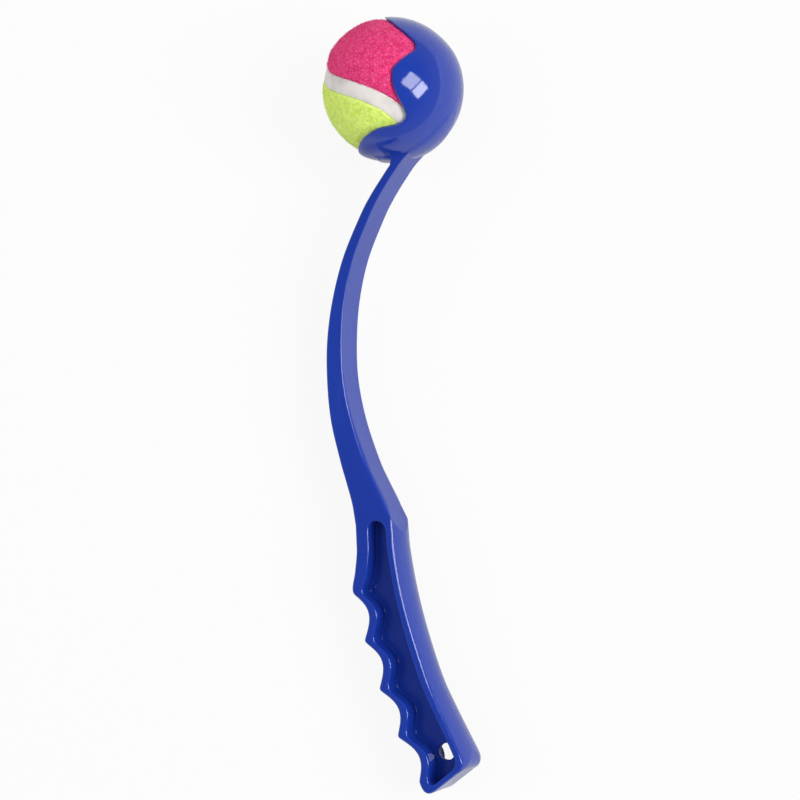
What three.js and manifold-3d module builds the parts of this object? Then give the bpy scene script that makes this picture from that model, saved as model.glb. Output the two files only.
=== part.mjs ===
// A ball launcher for dogs, one plastic moulding with a clawed cup, a bowed shaft and a pocketed
// finger-grooved handle, and the felt-covered ball that sits in its cup. Millimetres, +Z up.
//
// The launcher is drawn in its own flat plane first: x runs from the finger side to the back,
// y runs from the handle up to the cup, z runs across the moulding, and the ball's centre is zero.
// The last lines lay it on its side, as it rests on a table.
import * as THREE from "three";
import { mergeVertices } from "three/addons/utils/BufferGeometryUtils.js";
import Module from "manifold-3d";

const wasm = await Module();
wasm.setup();

// Ball
const ballDiameter = 64;
const feltThickness = 2.7;
const rubberWall = 4.4;
const cementThickness = 0.8;
const seamWidth = 6.4;
const seamRecess = 0.5;
const seamCurveShare = 0.3;
const ballTurnAxis = new THREE.Vector3(0.236, 0.952, -0.197).normalize();
const ballTurn = THREE.MathUtils.degToRad(64.3);

// Clearance between pieces that touch on the real ball, and between the ball and its cup
const fitGap = 0.3;

// Cup
const cupWall = 1.55;
const mouthLift = THREE.MathUtils.degToRad(11.8);
// The rim from the upper fingertip round one side to the lower fingertip: the share of the half
// turn about the mouth's axis, and the share of the way from the mouth's centre to the cup's back.
const rimShares = [
  [0, 0.416],
  [0.055, 0.428],
  [0.11, 0.463],
  [0.15, 0.512],
  [0.178, 0.563],
  [0.195, 0.617],
  [0.208, 0.65],
  [0.229, 0.66],
  [0.267, 0.65],
  [0.311, 0.63],
  [0.355, 0.611],
  [0.389, 0.604],
  [0.422, 0.611],
  [0.467, 0.636],
  [0.517, 0.667],
  [0.561, 0.692],
  [0.594, 0.702],
  [0.619, 0.696],
  [0.636, 0.674],
  [0.65, 0.636],
  [0.675, 0.58],
  [0.711, 0.534],
  [0.767, 0.489],
  [0.83, 0.452],
  [0.91, 0.426],
  [1, 0.416],
];

// Shaft and handle
const reach = 332.4;
const sweep = 63.9;
const neckThickness = 4.8;
const shoulderThickness = 18.7;
const gripDepth = 24.9;
const shaftWidth = 18.8;
const heelWidth = 25.2;
const wideningShare = 0.3988;
const shoulderShare = 0.5647;
const shoulderAsideShare = 0.066;
const edgeRound = 1.1;
const neckRootTurn = THREE.MathUtils.degToRad(27);
const neckFilletTurn = THREE.MathUtils.degToRad(14.5);
const neckFilletLift = 2;
const neckFrontTurn = THREE.MathUtils.degToRad(6);
// The back edge: shares of the way down from the cup, and of the sweep towards the back.
const shaftBackShares = [
  [0.0269, 0.062],
  [0.0581, -0.036],
  [0.0904, -0.117],
  [0.1538, -0.243],
  [0.2184, -0.313],
  [0.2819, -0.336],
  [0.3453, -0.321],
  [0.4099, -0.253],
  [0.4734, -0.144],
  [0.5057, -0.07],
  [0.5368, 0.008],
  [shoulderShare, shoulderAsideShare],
];
const gripBackShares = [
  [shoulderShare, shoulderAsideShare],
  [0.5858, 0.075],
  [0.6137, 0.087],
  [0.6649, 0.13],
  [0.7161, 0.188],
  [0.7673, 0.261],
  [0.8185, 0.348],
  [0.8553, 0.432],
  [0.9076, 0.564],
  [0.9454, 0.664],
];
// How the shaft thickens from the neck to the shoulder, by shares of the way down.
const thickeningShares = [
  [0.0325, 0],
  [0.0948, 0.028],
  [0.1583, 0.057],
  [0.2206, 0.12],
  [0.2841, 0.213],
  [0.3464, 0.29],
  [0.4088, 0.457],
  [0.4723, 0.603],
  [0.5034, 0.716],
  [0.5346, 0.865],
  [shoulderShare, 1],
];
// How the throat flares from the shoulder to the first fingertip ridge, by shares of the way.
const throatShares = [
  [0.185, 0],
  [0.415, 0.05],
  [0.53, 0.17],
  [0.64, 0.34],
  [0.754, 0.53],
  [0.868, 0.79],
];

// Finger grooves
const grooveCount = 4;
const groovePitchShare = 0.079;
const grooveDepth = 5.4;
const ridgeBowing = 2.9;
const ridgeSoftnessShare = 0.14;
const pocketSoftnessShare = 0.45;
const gripSlant = THREE.MathUtils.degToRad(21.7);
const toeShare = 0.0265;
const toeRound = 7;
const heelRound = 5.4;

// Pockets on both sides of the handle, and the hole through the web between them
const webThickness = 2.6;
const fingerWall = 3.9;
const backWall = 3.2;
const endWall = 4;
const pocketTopDrop = 2.4;
const pocketRound = 3;
const hangHoleDiameter = 7.5;
const hangHoleRise = 9.2;
const hangHoleInset = 10;

// Facet counts
const rimSteps = 2;
const cupRows = 10;
const roundSteps = 40;
const grooveSteps = 8;
const cornerSteps = 4;
const backSteps = 2;
const panelRows = 30;
const panelColumns = 10;
const seamSteps = 96;
const cutOverrun = 1;
const weldDistance = 0.0003;

const ballRadius = ballDiameter / 2;
const coreRadius = ballRadius - feltThickness - fitGap;
const cavityRadius = ballRadius + fitGap;
const cupRadius = cavityRadius + cupWall;
const stemLength = reach - cupRadius;

// Plastic, rubber and felt
const plasticBlue = new THREE.MeshStandardMaterial({ color: 0x2238a8, roughness: 0.22, metalness: 0 });
const rubberGrey = new THREE.MeshStandardMaterial({ color: 0x34322f, roughness: 0.8, metalness: 0 });
const cementTan = new THREE.MeshStandardMaterial({ color: 0xb59a72, roughness: 0.7, metalness: 0 });
const feltPink = new THREE.MeshStandardMaterial({ color: 0xe8467d, roughness: 0.95, metalness: 0 });
const feltLime = new THREE.MeshStandardMaterial({ color: 0xd0e46e, roughness: 0.95, metalness: 0 });
const seamWhite = new THREE.MeshStandardMaterial({ color: 0xe1dcd7, roughness: 0.6, metalness: 0 });

// A closed three.js geometry as a solid that can be joined and cut.
function solidOf(geometry) {
  const bare = geometry.clone();
  bare.deleteAttribute("normal");
  bare.deleteAttribute("uv");
  const merged = mergeVertices(bare, weldDistance);
  const mesh = new wasm.Mesh({
    numProp: 3,
    vertProperties: merged.attributes.position.array,
    triVerts: new Uint32Array(merged.index.array),
  });
  return new wasm.Manifold(mesh);
}

function geometryOf(solid) {
  const mesh = solid.getMesh();
  const geometry = new THREE.BufferGeometry();
  geometry.setAttribute("position", new THREE.BufferAttribute(mesh.vertProperties, 3));
  geometry.setIndex(new THREE.BufferAttribute(mesh.triVerts, 1));
  geometry.computeVertexNormals();
  return geometry;
}

// One closed geometry from points and triangles of point numbers.
function closedGeometry(points, triangles) {
  const geometry = new THREE.BufferGeometry().setFromPoints(points);
  geometry.setIndex(triangles.flat());
  return geometry;
}

// A row of four-cornered faces between two rings of points that start at the given numbers.
function bridge(firstRing, secondRing, count) {
  const triangles = [];
  for (let i = 0; i < count; i++) {
    const next = (i + 1) % count;
    triangles.push([firstRing + i, firstRing + next, secondRing + next]);
    triangles.push([firstRing + i, secondRing + next, secondRing + i]);
  }
  return triangles;
}

// Mouth frame of the cup: the axis the ball leaves along, and the two directions across it.
const mouthAxis = new THREE.Vector3(-Math.cos(mouthLift), Math.sin(mouthLift), 0);
const mouthUp = new THREE.Vector3(Math.sin(mouthLift), Math.cos(mouthLift), 0);
const mouthSide = new THREE.Vector3(0, 0, 1);

function cupPoint(around, away, radius) {
  return new THREE.Vector3()
    .addScaledVector(mouthAxis, radius * Math.cos(away))
    .addScaledVector(mouthUp, radius * Math.sin(away) * Math.cos(around))
    .addScaledVector(mouthSide, radius * Math.sin(away) * Math.sin(around));
}

// The rim as angles about the mouth's axis and away from it, all the way round.
function rimAngles() {
  const half = new THREE.SplineCurve(
    rimShares.map(([around, away]) => new THREE.Vector2(around * Math.PI, away * Math.PI)),
  ).getPoints((rimShares.length - 1) * rimSteps);
  const mirrored = half
    .slice(1, -1)
    .reverse()
    .map((p) => new THREE.Vector2(-p.x, p.y));
  return [...half, ...mirrored];
}

// The lobed part of the cup's ball shape, solid to its centre.
function cupBody() {
  const rim = rimAngles();
  const points = [new THREE.Vector3(), cupPoint(0, Math.PI, cupRadius)];
  for (let row = 1; row <= cupRows; row++)
    for (const edge of rim) {
      const away = Math.PI - ((Math.PI - edge.y) * row) / cupRows;
      points.push(cupPoint(edge.x, away, cupRadius));
    }
  const ring = (row) => 2 + (row - 1) * rim.length;
  const triangles = [];
  for (let i = 0; i < rim.length; i++) {
    const next = (i + 1) % rim.length;
    triangles.push([1, ring(1) + next, ring(1) + i]);
    triangles.push([0, ring(cupRows) + i, ring(cupRows) + next]);
  }
  for (let row = 1; row < cupRows; row++)
    triangles.push(...bridge(ring(row), ring(row + 1), rim.length));
  return outward(closedGeometry(points, triangles));
}

// The space that the ball fills and leaves by: a ball shape drawn out along the mouth's axis.
function cupCavity() {
  const profile = new THREE.Path();
  profile.moveTo(0, -cavityRadius);
  profile.absarc(0, 0, cavityRadius, -Math.PI / 2, 0, false);
  profile.lineTo(cavityRadius, cupRadius + cutOverrun);
  profile.lineTo(0, cupRadius + cutOverrun);
  const lathe = new THREE.LatheGeometry(profile.getPoints(cupRows), roundSteps);
  const turn = new THREE.Quaternion().setFromUnitVectors(new THREE.Vector3(0, 1, 0), mouthAxis);
  return outward(lathe.applyQuaternion(turn));
}

// The same closed geometry as a solid, with its faces turned out.
function outward(geometry) {
  const solid = solidOf(geometry);
  if (solid.volume() > 0) return solid;
  const index = geometry.index.array;
  for (let i = 0; i < index.length; i += 3) [index[i], index[i + 1]] = [index[i + 1], index[i]];
  return solidOf(geometry);
}

// Places on the stem: the distance below the ball's centre at a share of the way down, and back.
const dropAt = (share) => cupRadius + share * stemLength;
const shareAt = (drop) => (drop - cupRadius) / stemLength;
const downShare = ([along, aside]) => new THREE.Vector2(aside * sweep, -dropAt(along));

// A value read off a table of [place, value] rows, straight between the rows.
function readShares(table, place) {
  const last = table.length - 1;
  const at = THREE.MathUtils.clamp(place, table[0][0], table[last][0]);
  const row = Math.max(1, table.findIndex(([start]) => start >= at));
  const [fromPlace, fromValue] = table[row - 1];
  const [toPlace, toValue] = table[row];
  return THREE.MathUtils.mapLinear(at, fromPlace, toPlace, fromValue, toValue);
}

function belowCup(turn, radius) {
  return new THREE.Vector2(radius * Math.sin(turn), -radius * Math.cos(turn));
}

const smooth = (points, steps) => new THREE.SplineCurve(points).getPoints(steps * (points.length - 1));

// The back edge from the cup's back down to the shoulder, and from there down to the heel.
const shaftBack = smooth(
  [
    belowCup(neckRootTurn, cupRadius - cupWall / 2),
    belowCup(neckFilletTurn, cupRadius + neckFilletLift),
    ...shaftBackShares.map(downShare),
  ],
  backSteps,
);
const gripBack = smooth(gripBackShares.map(downShare), backSteps);
const heelCorner = gripBack[gripBack.length - 1];

// The grip's own directions: down along the ridges, and out towards the fingers.
const gripDown = new THREE.Vector2(Math.sin(gripSlant), -Math.cos(gripSlant));
const gripOut = new THREE.Vector2(-Math.cos(gripSlant), -Math.sin(gripSlant));
const groovePitch = groovePitchShare * stemLength;
const toeLength = toeShare * stemLength;
const gripLength = grooveCount * groovePitch;
const firstRidgeDrop = reach - (gripLength + toeLength) * Math.cos(gripSlant);

function backAside(drop) {
  const below = gripBack.findIndex((p) => -p.y >= drop);
  const [a, b] = [gripBack[below - 1], gripBack[below]];
  return THREE.MathUtils.mapLinear(drop, -a.y, -b.y, a.x, b.x);
}
const firstRidge = new THREE.Vector2(backAside(firstRidgeDrop) - gripDepth, -firstRidgeDrop);

// The finger side of the grip at a distance below the first ridge.
function fingerPoint(below, softness, inset) {
  const wave = Math.abs(Math.sin((Math.PI * below) / groovePitch));
  const rounded = (Math.hypot(wave, softness) - softness) / (Math.hypot(1, softness) - softness);
  const bowing = ridgeBowing * Math.sin((Math.PI * below) / gripLength);
  return firstRidge
    .clone()
    .addScaledVector(gripDown, below)
    .addScaledVector(gripOut, bowing - grooveDepth * rounded - inset);
}

function fingerEdge(softness, inset, start, end) {
  const steps = Math.round(((end - start) / groovePitch) * grooveSteps);
  const points = [];
  for (let i = 0; i <= steps; i++)
    points.push(fingerPoint(start + ((end - start) * i) / steps, softness, inset));
  return points;
}

// The throat between the shoulder and the first ridge, on the finger side.
const shoulderDrop = dropAt(shoulderShare);
function throatPoint([way, flare]) {
  const drop = THREE.MathUtils.lerp(shoulderDrop, firstRidgeDrop, way);
  const depth = THREE.MathUtils.lerp(shoulderThickness, gripDepth, flare);
  return new THREE.Vector2(backAside(drop) - depth, -drop);
}
const throat = throatShares.map(throatPoint);

// The finger side of the shaft, from the cup down to the shoulder.
function frontOf(p) {
  const share = readShares(thickeningShares, shareAt(-p.y));
  return new THREE.Vector2(p.x - THREE.MathUtils.lerp(neckThickness, shoulderThickness, share), p.y);
}
const shaftFront = [
  belowCup(neckFrontTurn, cupRadius - cupWall / 2),
  ...shaftBack.filter((p) => -p.y > cupRadius + neckFilletLift).slice(0, -1).map(frontOf),
];

// A corner between three points, rounded off by a curve that starts a distance before it.
function roundedCorner(before, corner, after, distance) {
  const start = corner.clone().add(before.clone().sub(corner).setLength(distance));
  const end = corner.clone().add(after.clone().sub(corner).setLength(distance));
  return new THREE.QuadraticBezierCurve(start, corner, end).getPoints(cornerSteps);
}

const toeCorner = firstRidge.clone().addScaledVector(gripDown, gripLength + toeLength);

function stemOutline() {
  const fingers = fingerEdge(ridgeSoftnessShare, 0, 0, gripLength).reverse();
  const aboveHeel = gripBack[gripBack.length - 2];
  const insideCup = coreRadius - rubberWall;
  return [
    belowCup(neckFrontTurn, insideCup),
    belowCup(neckRootTurn, insideCup),
    ...shaftBack,
    ...gripBack.slice(1).filter((p) => p.distanceTo(heelCorner) > heelRound),
    ...roundedCorner(aboveHeel, heelCorner, toeCorner, heelRound),
    ...roundedCorner(heelCorner, toeCorner, fingers[0], toeRound),
    ...fingers.slice(1),
    ...throat.slice().reverse(),
    ...shaftFront.slice().reverse(),
  ];
}

const nominalHalf = shaftWidth / 2;
function halfWidthAt(drop) {
  const way = THREE.MathUtils.clamp((shareAt(drop) - wideningShare) / (1 - wideningShare), 0, 1);
  return THREE.MathUtils.lerp(shaftWidth, heelWidth, way) / 2;
}

// The shaft and handle as one rounded slab that widens from the shaft to the heel.
function stemBody() {
  const slab = new THREE.ExtrudeGeometry(new THREE.Shape(stemOutline()), {
    depth: shaftWidth - 2 * edgeRound,
    bevelThickness: edgeRound,
    bevelSize: edgeRound,
    bevelOffset: -edgeRound,
    bevelSegments: 2,
    steps: 1,
  });
  slab.translate(0, 0, edgeRound - nominalHalf);
  const place = slab.attributes.position;
  for (let i = 0; i < place.count; i++)
    place.setZ(i, (place.getZ(i) * halfWidthAt(-place.getY(i))) / nominalHalf);
  return solidOf(slab);
}

// The pocket's outline follows the handle's own edges, a wall inside them.
function pocketOutline() {
  const top = shoulderDrop + pocketTopDrop;
  const back = gripBack
    .filter((p) => -p.y > top + pocketRound)
    .map((p) => new THREE.Vector2(p.x - backWall / Math.cos(gripSlant), p.y))
    .filter((p) => p.distanceTo(heelCorner) > heelRound + backWall + endWall);
  const alongEnd = toeCorner.clone().sub(heelCorner).normalize();
  const inFromEnd = new THREE.Vector2(-alongEnd.y, alongEnd.x);
  if (inFromEnd.y < 0) inFromEnd.negate();
  const fingers = fingerEdge(pocketSoftnessShare, fingerWall, 0, gripLength - endWall).reverse();
  const heelIn = heelCorner
    .clone()
    .addScaledVector(inFromEnd, endWall)
    .addScaledVector(alongEnd, backWall);
  const toeIn = toeCorner
    .clone()
    .addScaledVector(inFromEnd, endWall)
    .addScaledVector(alongEnd, -fingerWall);
  const front = throat
    .slice(1)
    .reverse()
    .map((p) => new THREE.Vector2(p.x + fingerWall, p.y));
  const lastBack = back[back.length - 1];
  const firstBack = back[0];
  const lastFront = front[front.length - 1];
  const topBack = new THREE.Vector2(firstBack.x - pocketRound / 2, -top);
  const topFront = new THREE.Vector2(lastFront.x, -top);
  return [
    ...back,
    ...roundedCorner(lastBack, heelIn, toeIn, pocketRound),
    ...roundedCorner(heelIn, toeIn, fingers[0], pocketRound),
    ...fingers,
    ...front,
    ...roundedCorner(lastFront, topFront, topBack, pocketRound),
    ...roundedCorner(topFront, topBack, firstBack, pocketRound),
  ];
}

function pocketCut(side) {
  const cut = new THREE.ExtrudeGeometry(new THREE.Shape(pocketOutline()), {
    depth: heelWidth,
    bevelEnabled: false,
    steps: 1,
  });
  cut.translate(0, 0, side > 0 ? webThickness / 2 : -webThickness / 2 - heelWidth);
  return solidOf(cut);
}

function hangHoleCut() {
  const hole = new THREE.CylinderGeometry(
    hangHoleDiameter / 2,
    hangHoleDiameter / 2,
    webThickness + 2 * cutOverrun,
    roundSteps / 2,
  );
  hole.rotateX(Math.PI / 2);
  const centre = heelCorner
    .clone()
    .addScaledVector(gripDown, -hangHoleRise)
    .addScaledVector(gripOut, hangHoleInset);
  hole.translate(centre.x, centre.y, 0);
  return solidOf(hole);
}

function launcherGeometry() {
  const body = stemBody()
    .add(cupBody())
    .subtract(cupCavity())
    .subtract(pocketCut(1))
    .subtract(pocketCut(-1))
    .subtract(hangHoleCut());
  return geometryOf(body);
}

// A bowl-shaped rubber half of the ball's core. Its open side faces the cement between the halves.
function halfShellGeometry(side) {
  const inner = coreRadius - rubberWall;
  const mouth = cementThickness / 2 + fitGap;
  const outerTurn = Math.asin(mouth / coreRadius);
  const innerTurn = Math.asin(mouth / inner);
  const profile = new THREE.Path();
  profile.moveTo(0, inner);
  profile.absarc(0, 0, inner, Math.PI / 2, innerTurn, true);
  profile.absarc(0, 0, coreRadius, outerTurn, Math.PI / 2, false);
  const points = profile.getPoints(cupRows / 2).filter((p, i, all) => !all[i - 1]?.equals(p));
  points[0].x = 0;
  points[points.length - 1].x = 0;
  const bowl = new THREE.LatheGeometry([...points, points[0]], roundSteps / 2);
  if (side < 0) bowl.rotateX(Math.PI);
  return geometryOf(outward(bowl));
}

function cementGeometry() {
  const half = cementThickness / 2;
  const inner = coreRadius - rubberWall;
  const ring = new THREE.LatheGeometry(
    [
      new THREE.Vector2(inner, -half),
      new THREE.Vector2(coreRadius, -half),
      new THREE.Vector2(coreRadius, half),
      new THREE.Vector2(inner, half),
      new THREE.Vector2(inner, -half),
    ],
    roundSteps,
  );
  return geometryOf(outward(ring));
}

// The seam that winds round the ball, as a direction from its centre.
function seamDirection(turn) {
  const wide = 1 - seamCurveShare;
  const narrow = seamCurveShare;
  return new THREE.Vector3(
    wide * Math.cos(turn) + narrow * Math.cos(3 * turn),
    wide * Math.sin(turn) - narrow * Math.sin(3 * turn),
    2 * Math.sqrt(wide * narrow) * Math.sin(2 * turn),
  ).normalize();
}

// The direction beside the seam, a distance over the ball's surface towards the first panel.
function besideSeam(turn, distance) {
  const step = Math.PI / seamSteps;
  const here = seamDirection(turn);
  const ahead = seamDirection(turn + step).sub(seamDirection(turn - step));
  const across = here.clone().cross(ahead).normalize();
  const angle = distance / ballRadius;
  return here.multiplyScalar(Math.cos(angle)).addScaledVector(across, Math.sin(angle)).normalize();
}

function between(start, end, share) {
  const turn = new THREE.Quaternion().setFromUnitVectors(start, end);
  return start.clone().applyQuaternion(new THREE.Quaternion().slerp(turn, share));
}

// A waisted felt panel: rows of points across it, from one rounded end to the other.
function feltGeometry(side) {
  const edge = (seamWidth / 2) * side;
  const startTurn = side > 0 ? -Math.PI / 4 : Math.PI / 4;
  const mirrorTurn = side > 0 ? (3 * Math.PI) / 2 : Math.PI / 2;
  const directions = [besideSeam(startTurn, edge)];
  for (let row = 1; row < panelRows; row++) {
    const turn = startTurn + (Math.PI * row) / panelRows;
    const start = besideSeam(turn, edge);
    const end = besideSeam(mirrorTurn - turn, edge);
    for (let column = 0; column <= panelColumns; column++)
      directions.push(between(start, end, column / panelColumns));
  }
  directions.push(besideSeam(startTurn + Math.PI, edge));
  const outer = directions.map((d) => d.clone().multiplyScalar(ballRadius));
  const inner = directions.map((d) => d.clone().multiplyScalar(coreRadius + fitGap));
  const width = panelColumns + 1;
  const at = (row, column) => 1 + (row - 1) * width + column;
  const last = directions.length - 1;
  const skin = [];
  for (let column = 0; column < panelColumns; column++) {
    skin.push([0, at(1, column), at(1, column + 1)]);
    skin.push([last, at(panelRows - 1, column + 1), at(panelRows - 1, column)]);
    for (let row = 1; row < panelRows - 1; row++) {
      skin.push([at(row, column), at(row + 1, column), at(row + 1, column + 1)]);
      skin.push([at(row, column), at(row + 1, column + 1), at(row, column + 1)]);
    }
  }
  const border = [0];
  for (let row = 1; row < panelRows; row++) border.push(at(row, 0));
  border.push(last);
  for (let row = panelRows - 1; row > 0; row--) border.push(at(row, panelColumns));
  const count = directions.length;
  const under = skin.map(([a, b, c]) => [count + a, count + c, count + b]);
  const wall = [];
  border.forEach((a, i) => {
    const b = border[(i + 1) % border.length];
    wall.push([b, a, count + a]);
    wall.push([b, count + a, count + b]);
  });
  return geometryOf(outward(closedGeometry([...outer, ...inner], [...skin, ...under, ...wall])));
}

// The pale rubber band between the felt panels, a closed loop set a little below the felt.
function seamBandGeometry() {
  const side = seamWidth / 2 - fitGap;
  const high = ballRadius - seamRecess;
  const low = coreRadius + fitGap;
  const corners = [
    [side, high],
    [0, high],
    [-side, high],
    [-side, low],
    [side, low],
  ];
  const points = [];
  for (let i = 0; i < seamSteps; i++)
    for (const [distance, radius] of corners)
      points.push(besideSeam((2 * Math.PI * i) / seamSteps, distance).multiplyScalar(radius));
  const triangles = [];
  for (let i = 0; i < seamSteps; i++)
    triangles.push(...bridge(i * corners.length, ((i + 1) % seamSteps) * corners.length, corners.length));
  return geometryOf(outward(closedGeometry(points, triangles)));
}

function namedMesh(name, geometry, material) {
  const mesh = new THREE.Mesh(geometry, material);
  mesh.name = name;
  return mesh;
}

const ball = new THREE.Group();
ball.add(namedMesh("ball_half_shell_a", halfShellGeometry(1), rubberGrey));
ball.add(namedMesh("ball_half_shell_b", halfShellGeometry(-1), rubberGrey));
ball.add(namedMesh("ball_cement_ring", cementGeometry(), cementTan));
ball.add(namedMesh("felt_panel_pink", feltGeometry(1), feltPink));
ball.add(namedMesh("felt_panel_lime", feltGeometry(-1), feltLime));
ball.add(namedMesh("ball_seam_band", seamBandGeometry(), seamWhite));
ball.quaternion.setFromAxisAngle(ballTurnAxis, ballTurn);

// The way up when the launcher lies on its side: the ball and the edges of the second and third
// finger ridges touch the table.
function restingUp() {
  const relief = edgeRound * (1 - Math.SQRT1_2);
  const [second, third] = [1, 2].map((ridge) => {
    const p = fingerPoint(ridge * groovePitch, ridgeSoftnessShare, 0);
    return new THREE.Vector3(p.x + relief, p.y, relief - halfWidthAt(-p.y));
  });
  const along = third.clone().sub(second).normalize();
  const out = second.clone().projectOnPlane(along);
  const lean = -ballRadius / out.length();
  out.normalize();
  const aside = along.clone().cross(out);
  if (aside.z < 0) aside.negate();
  return out.multiplyScalar(lean).addScaledVector(aside, Math.sqrt(1 - lean * lean));
}

const up = restingUp();
const lengthways = new THREE.Vector3(0, 1, 0).projectOnPlane(up).normalize();
const sideways = up.clone().cross(lengthways);

const lying = new THREE.Group();
lying.add(namedMesh("launcher", launcherGeometry(), plasticBlue));
lying.add(ball);
const tableBasis = new THREE.Matrix4().makeBasis(lengthways, sideways, up);
lying.quaternion.setFromRotationMatrix(tableBasis.transpose());
lying.updateMatrixWorld(true);

// The origin is under the middle of the whole object, on the table.
const extent = new THREE.Box3().setFromObject(lying, true);
const middle = extent.getCenter(new THREE.Vector3());
lying.position.set(-middle.x, -middle.y, -extent.min.z);

export default lying;
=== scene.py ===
"""A dog tennis ball launcher: one glossy blue moulding with a pink and lime felt ball in its cup.

The shapes are drawn upright, in millimetres: x from the finger side to the back, y from the handle
up to the cup, z across the moulding, and the ball's centre at zero. LyingPose turns them into the
room, in metres, where the launcher lies on its side on the floor.
"""

import logging
import math
from collections.abc import Callable, Sequence
from dataclasses import dataclass, field
from enum import Enum

import bmesh
import bpy
import numpy as np
from mathutils import Matrix, Quaternion, Vector, noise


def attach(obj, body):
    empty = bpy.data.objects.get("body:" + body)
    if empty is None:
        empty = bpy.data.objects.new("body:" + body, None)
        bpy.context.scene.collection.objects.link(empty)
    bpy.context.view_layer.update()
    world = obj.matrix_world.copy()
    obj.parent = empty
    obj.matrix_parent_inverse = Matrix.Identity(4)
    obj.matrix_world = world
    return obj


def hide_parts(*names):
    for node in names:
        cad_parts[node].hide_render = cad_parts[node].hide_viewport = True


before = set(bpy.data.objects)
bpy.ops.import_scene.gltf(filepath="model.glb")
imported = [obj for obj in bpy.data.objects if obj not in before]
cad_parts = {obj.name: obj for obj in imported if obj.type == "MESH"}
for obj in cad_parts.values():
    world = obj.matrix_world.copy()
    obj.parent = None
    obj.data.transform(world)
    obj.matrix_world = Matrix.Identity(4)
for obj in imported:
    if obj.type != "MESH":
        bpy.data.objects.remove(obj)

LOG = logging.getLogger("ball_launcher")
Pair = tuple[float, float]
Triple = tuple[float, float, float]
Colour = tuple[float, float, float, float]
Station = tuple[Vector, float, float]
Place = Callable[[float, float], Vector]
Test = Callable[[Vector], bool]
Shape = bmesh.types.BMesh
Piece = bpy.types.Object


def colour(red: float, green: float, blue: float) -> Colour:
    """Turns a colour as seen on a screen, 0 to 255, into the shader's linear colour.

    Args:
        red: Red, 0 to 255.
        green: Green, 0 to 255.
        blue: Blue, 0 to 255.

    Returns:
        Linear red, green, blue and an alpha of 1.
    """
    parts = [value / 255 for value in (red, green, blue)]
    bright = [p / 12.92 if p <= 0.04045 else ((p + 0.055) / 1.055) ** 2.4 for p in parts]
    return (bright[0], bright[1], bright[2], 1.0)


def mix(start: float, end: float, share: float) -> float:
    """Returns the value a share of the way from start to end."""
    return start + (end - start) * share


def held(value: float, low: float = 0.0, high: float = 1.0) -> float:
    """Returns a value held between two limits."""
    return min(max(value, low), high)


def ease(share: float) -> float:
    """Returns a share held between 0 and 1, with a soft start and end."""
    inside = held(share)
    return inside * inside * (3 - 2 * inside)


def through(points: Sequence[Vector], steps: int) -> list[Vector]:
    """Draws a smooth curve through points.

    Args:
        points: The points that the curve passes through.
        steps: The number of short straight pieces between two points.

    Returns:
        The points along the curve, the first and the last included.
    """
    last = len(points) - 1
    curve = []
    for i in range(last * steps + 1):
        at = min(i // steps, last - 1)
        t = i / steps - at
        p0, p1 = points[max(at - 1, 0)], points[at]
        p2, p3 = points[at + 1], points[min(at + 2, last)]
        start, end = (p2 - p0) * 0.5, (p3 - p1) * 0.5
        curve.append(
            (p1 * 2 - p2 * 2 + start + end) * t**3
            + (p2 * 3 - p1 * 3 - start * 2 - end) * t**2
            + start * t
            + p1
        )
    return curve


def rounded_corner(before: Vector, corner: Vector, after: Vector, reach: float) -> list[Vector]:
    """Rounds the corner between three points.

    Args:
        before: A point on the side that leads to the corner.
        corner: The corner.
        after: A point on the side that leaves it.
        reach: How far from the corner the rounding starts.

    Returns:
        Points along the rounding.
    """
    steps = 10
    start = corner + (before - corner).normalized() * reach
    end = corner + (after - corner).normalized() * reach
    return [
        start * (1 - t) ** 2 + corner * 2 * t * (1 - t) + end * t**2
        for t in (i / steps for i in range(steps + 1))
    ]


def even_loop(points: Sequence[Vector], gap: float, passes: int) -> list[Vector]:
    """Spreads a closed line's points evenly and takes out its kinks.

    Args:
        points: The line's corners, in order.
        gap: The distance between two new points.
        passes: How many times each point moves towards its neighbours' middle.

    Returns:
        The new points.
    """
    closed = [*points, points[0]]
    far = np.cumsum([0.0] + [(b - a).length for a, b in zip(closed, closed[1:])])
    at = np.linspace(0, far[-1], round(far[-1] / gap), endpoint=False)
    line = np.stack([np.interp(at, far, [p[axis] for p in closed]) for axis in (0, 1)], axis=1)
    for _ in range(passes):
        line = (np.roll(line, 1, axis=0) + 2 * line + np.roll(line, -1, axis=0)) / 4
    return [Vector(row) for row in line.tolist()]


@dataclass(frozen=True)
class LyingPose:
    """How the upright drawing, in millimetres, lies on its side in the room, in metres."""

    up: Triple = (0.255939, 0.074141, 0.963846)
    ball_centre: Triple = (148.08, 5.072, 32.05)
    millimetre: float = 0.001

    def turn(self) -> Matrix:
        """Works out how the drawing is turned.

        Returns:
            The turn from the upright drawing to the room.
        """
        up = Vector(self.up).normalized()
        along = (Vector((0, 1, 0)) - up * up.y).normalized()
        return Matrix((along, up.cross(along), up)).to_4x4()

    def centre(self) -> Vector:
        """Returns the ball's centre in the room, in metres."""
        return Vector(self.ball_centre) * self.millimetre

    def matrix(self) -> Matrix:
        """Returns the whole placing: the turn, the shift and millimetres to metres."""
        return Matrix.Translation(self.centre()) @ self.turn() @ Matrix.Scale(self.millimetre, 4)


class Cut(Enum):
    """What one solid does to another."""

    JOIN = "UNION"
    TAKE_AWAY = "DIFFERENCE"


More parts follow.
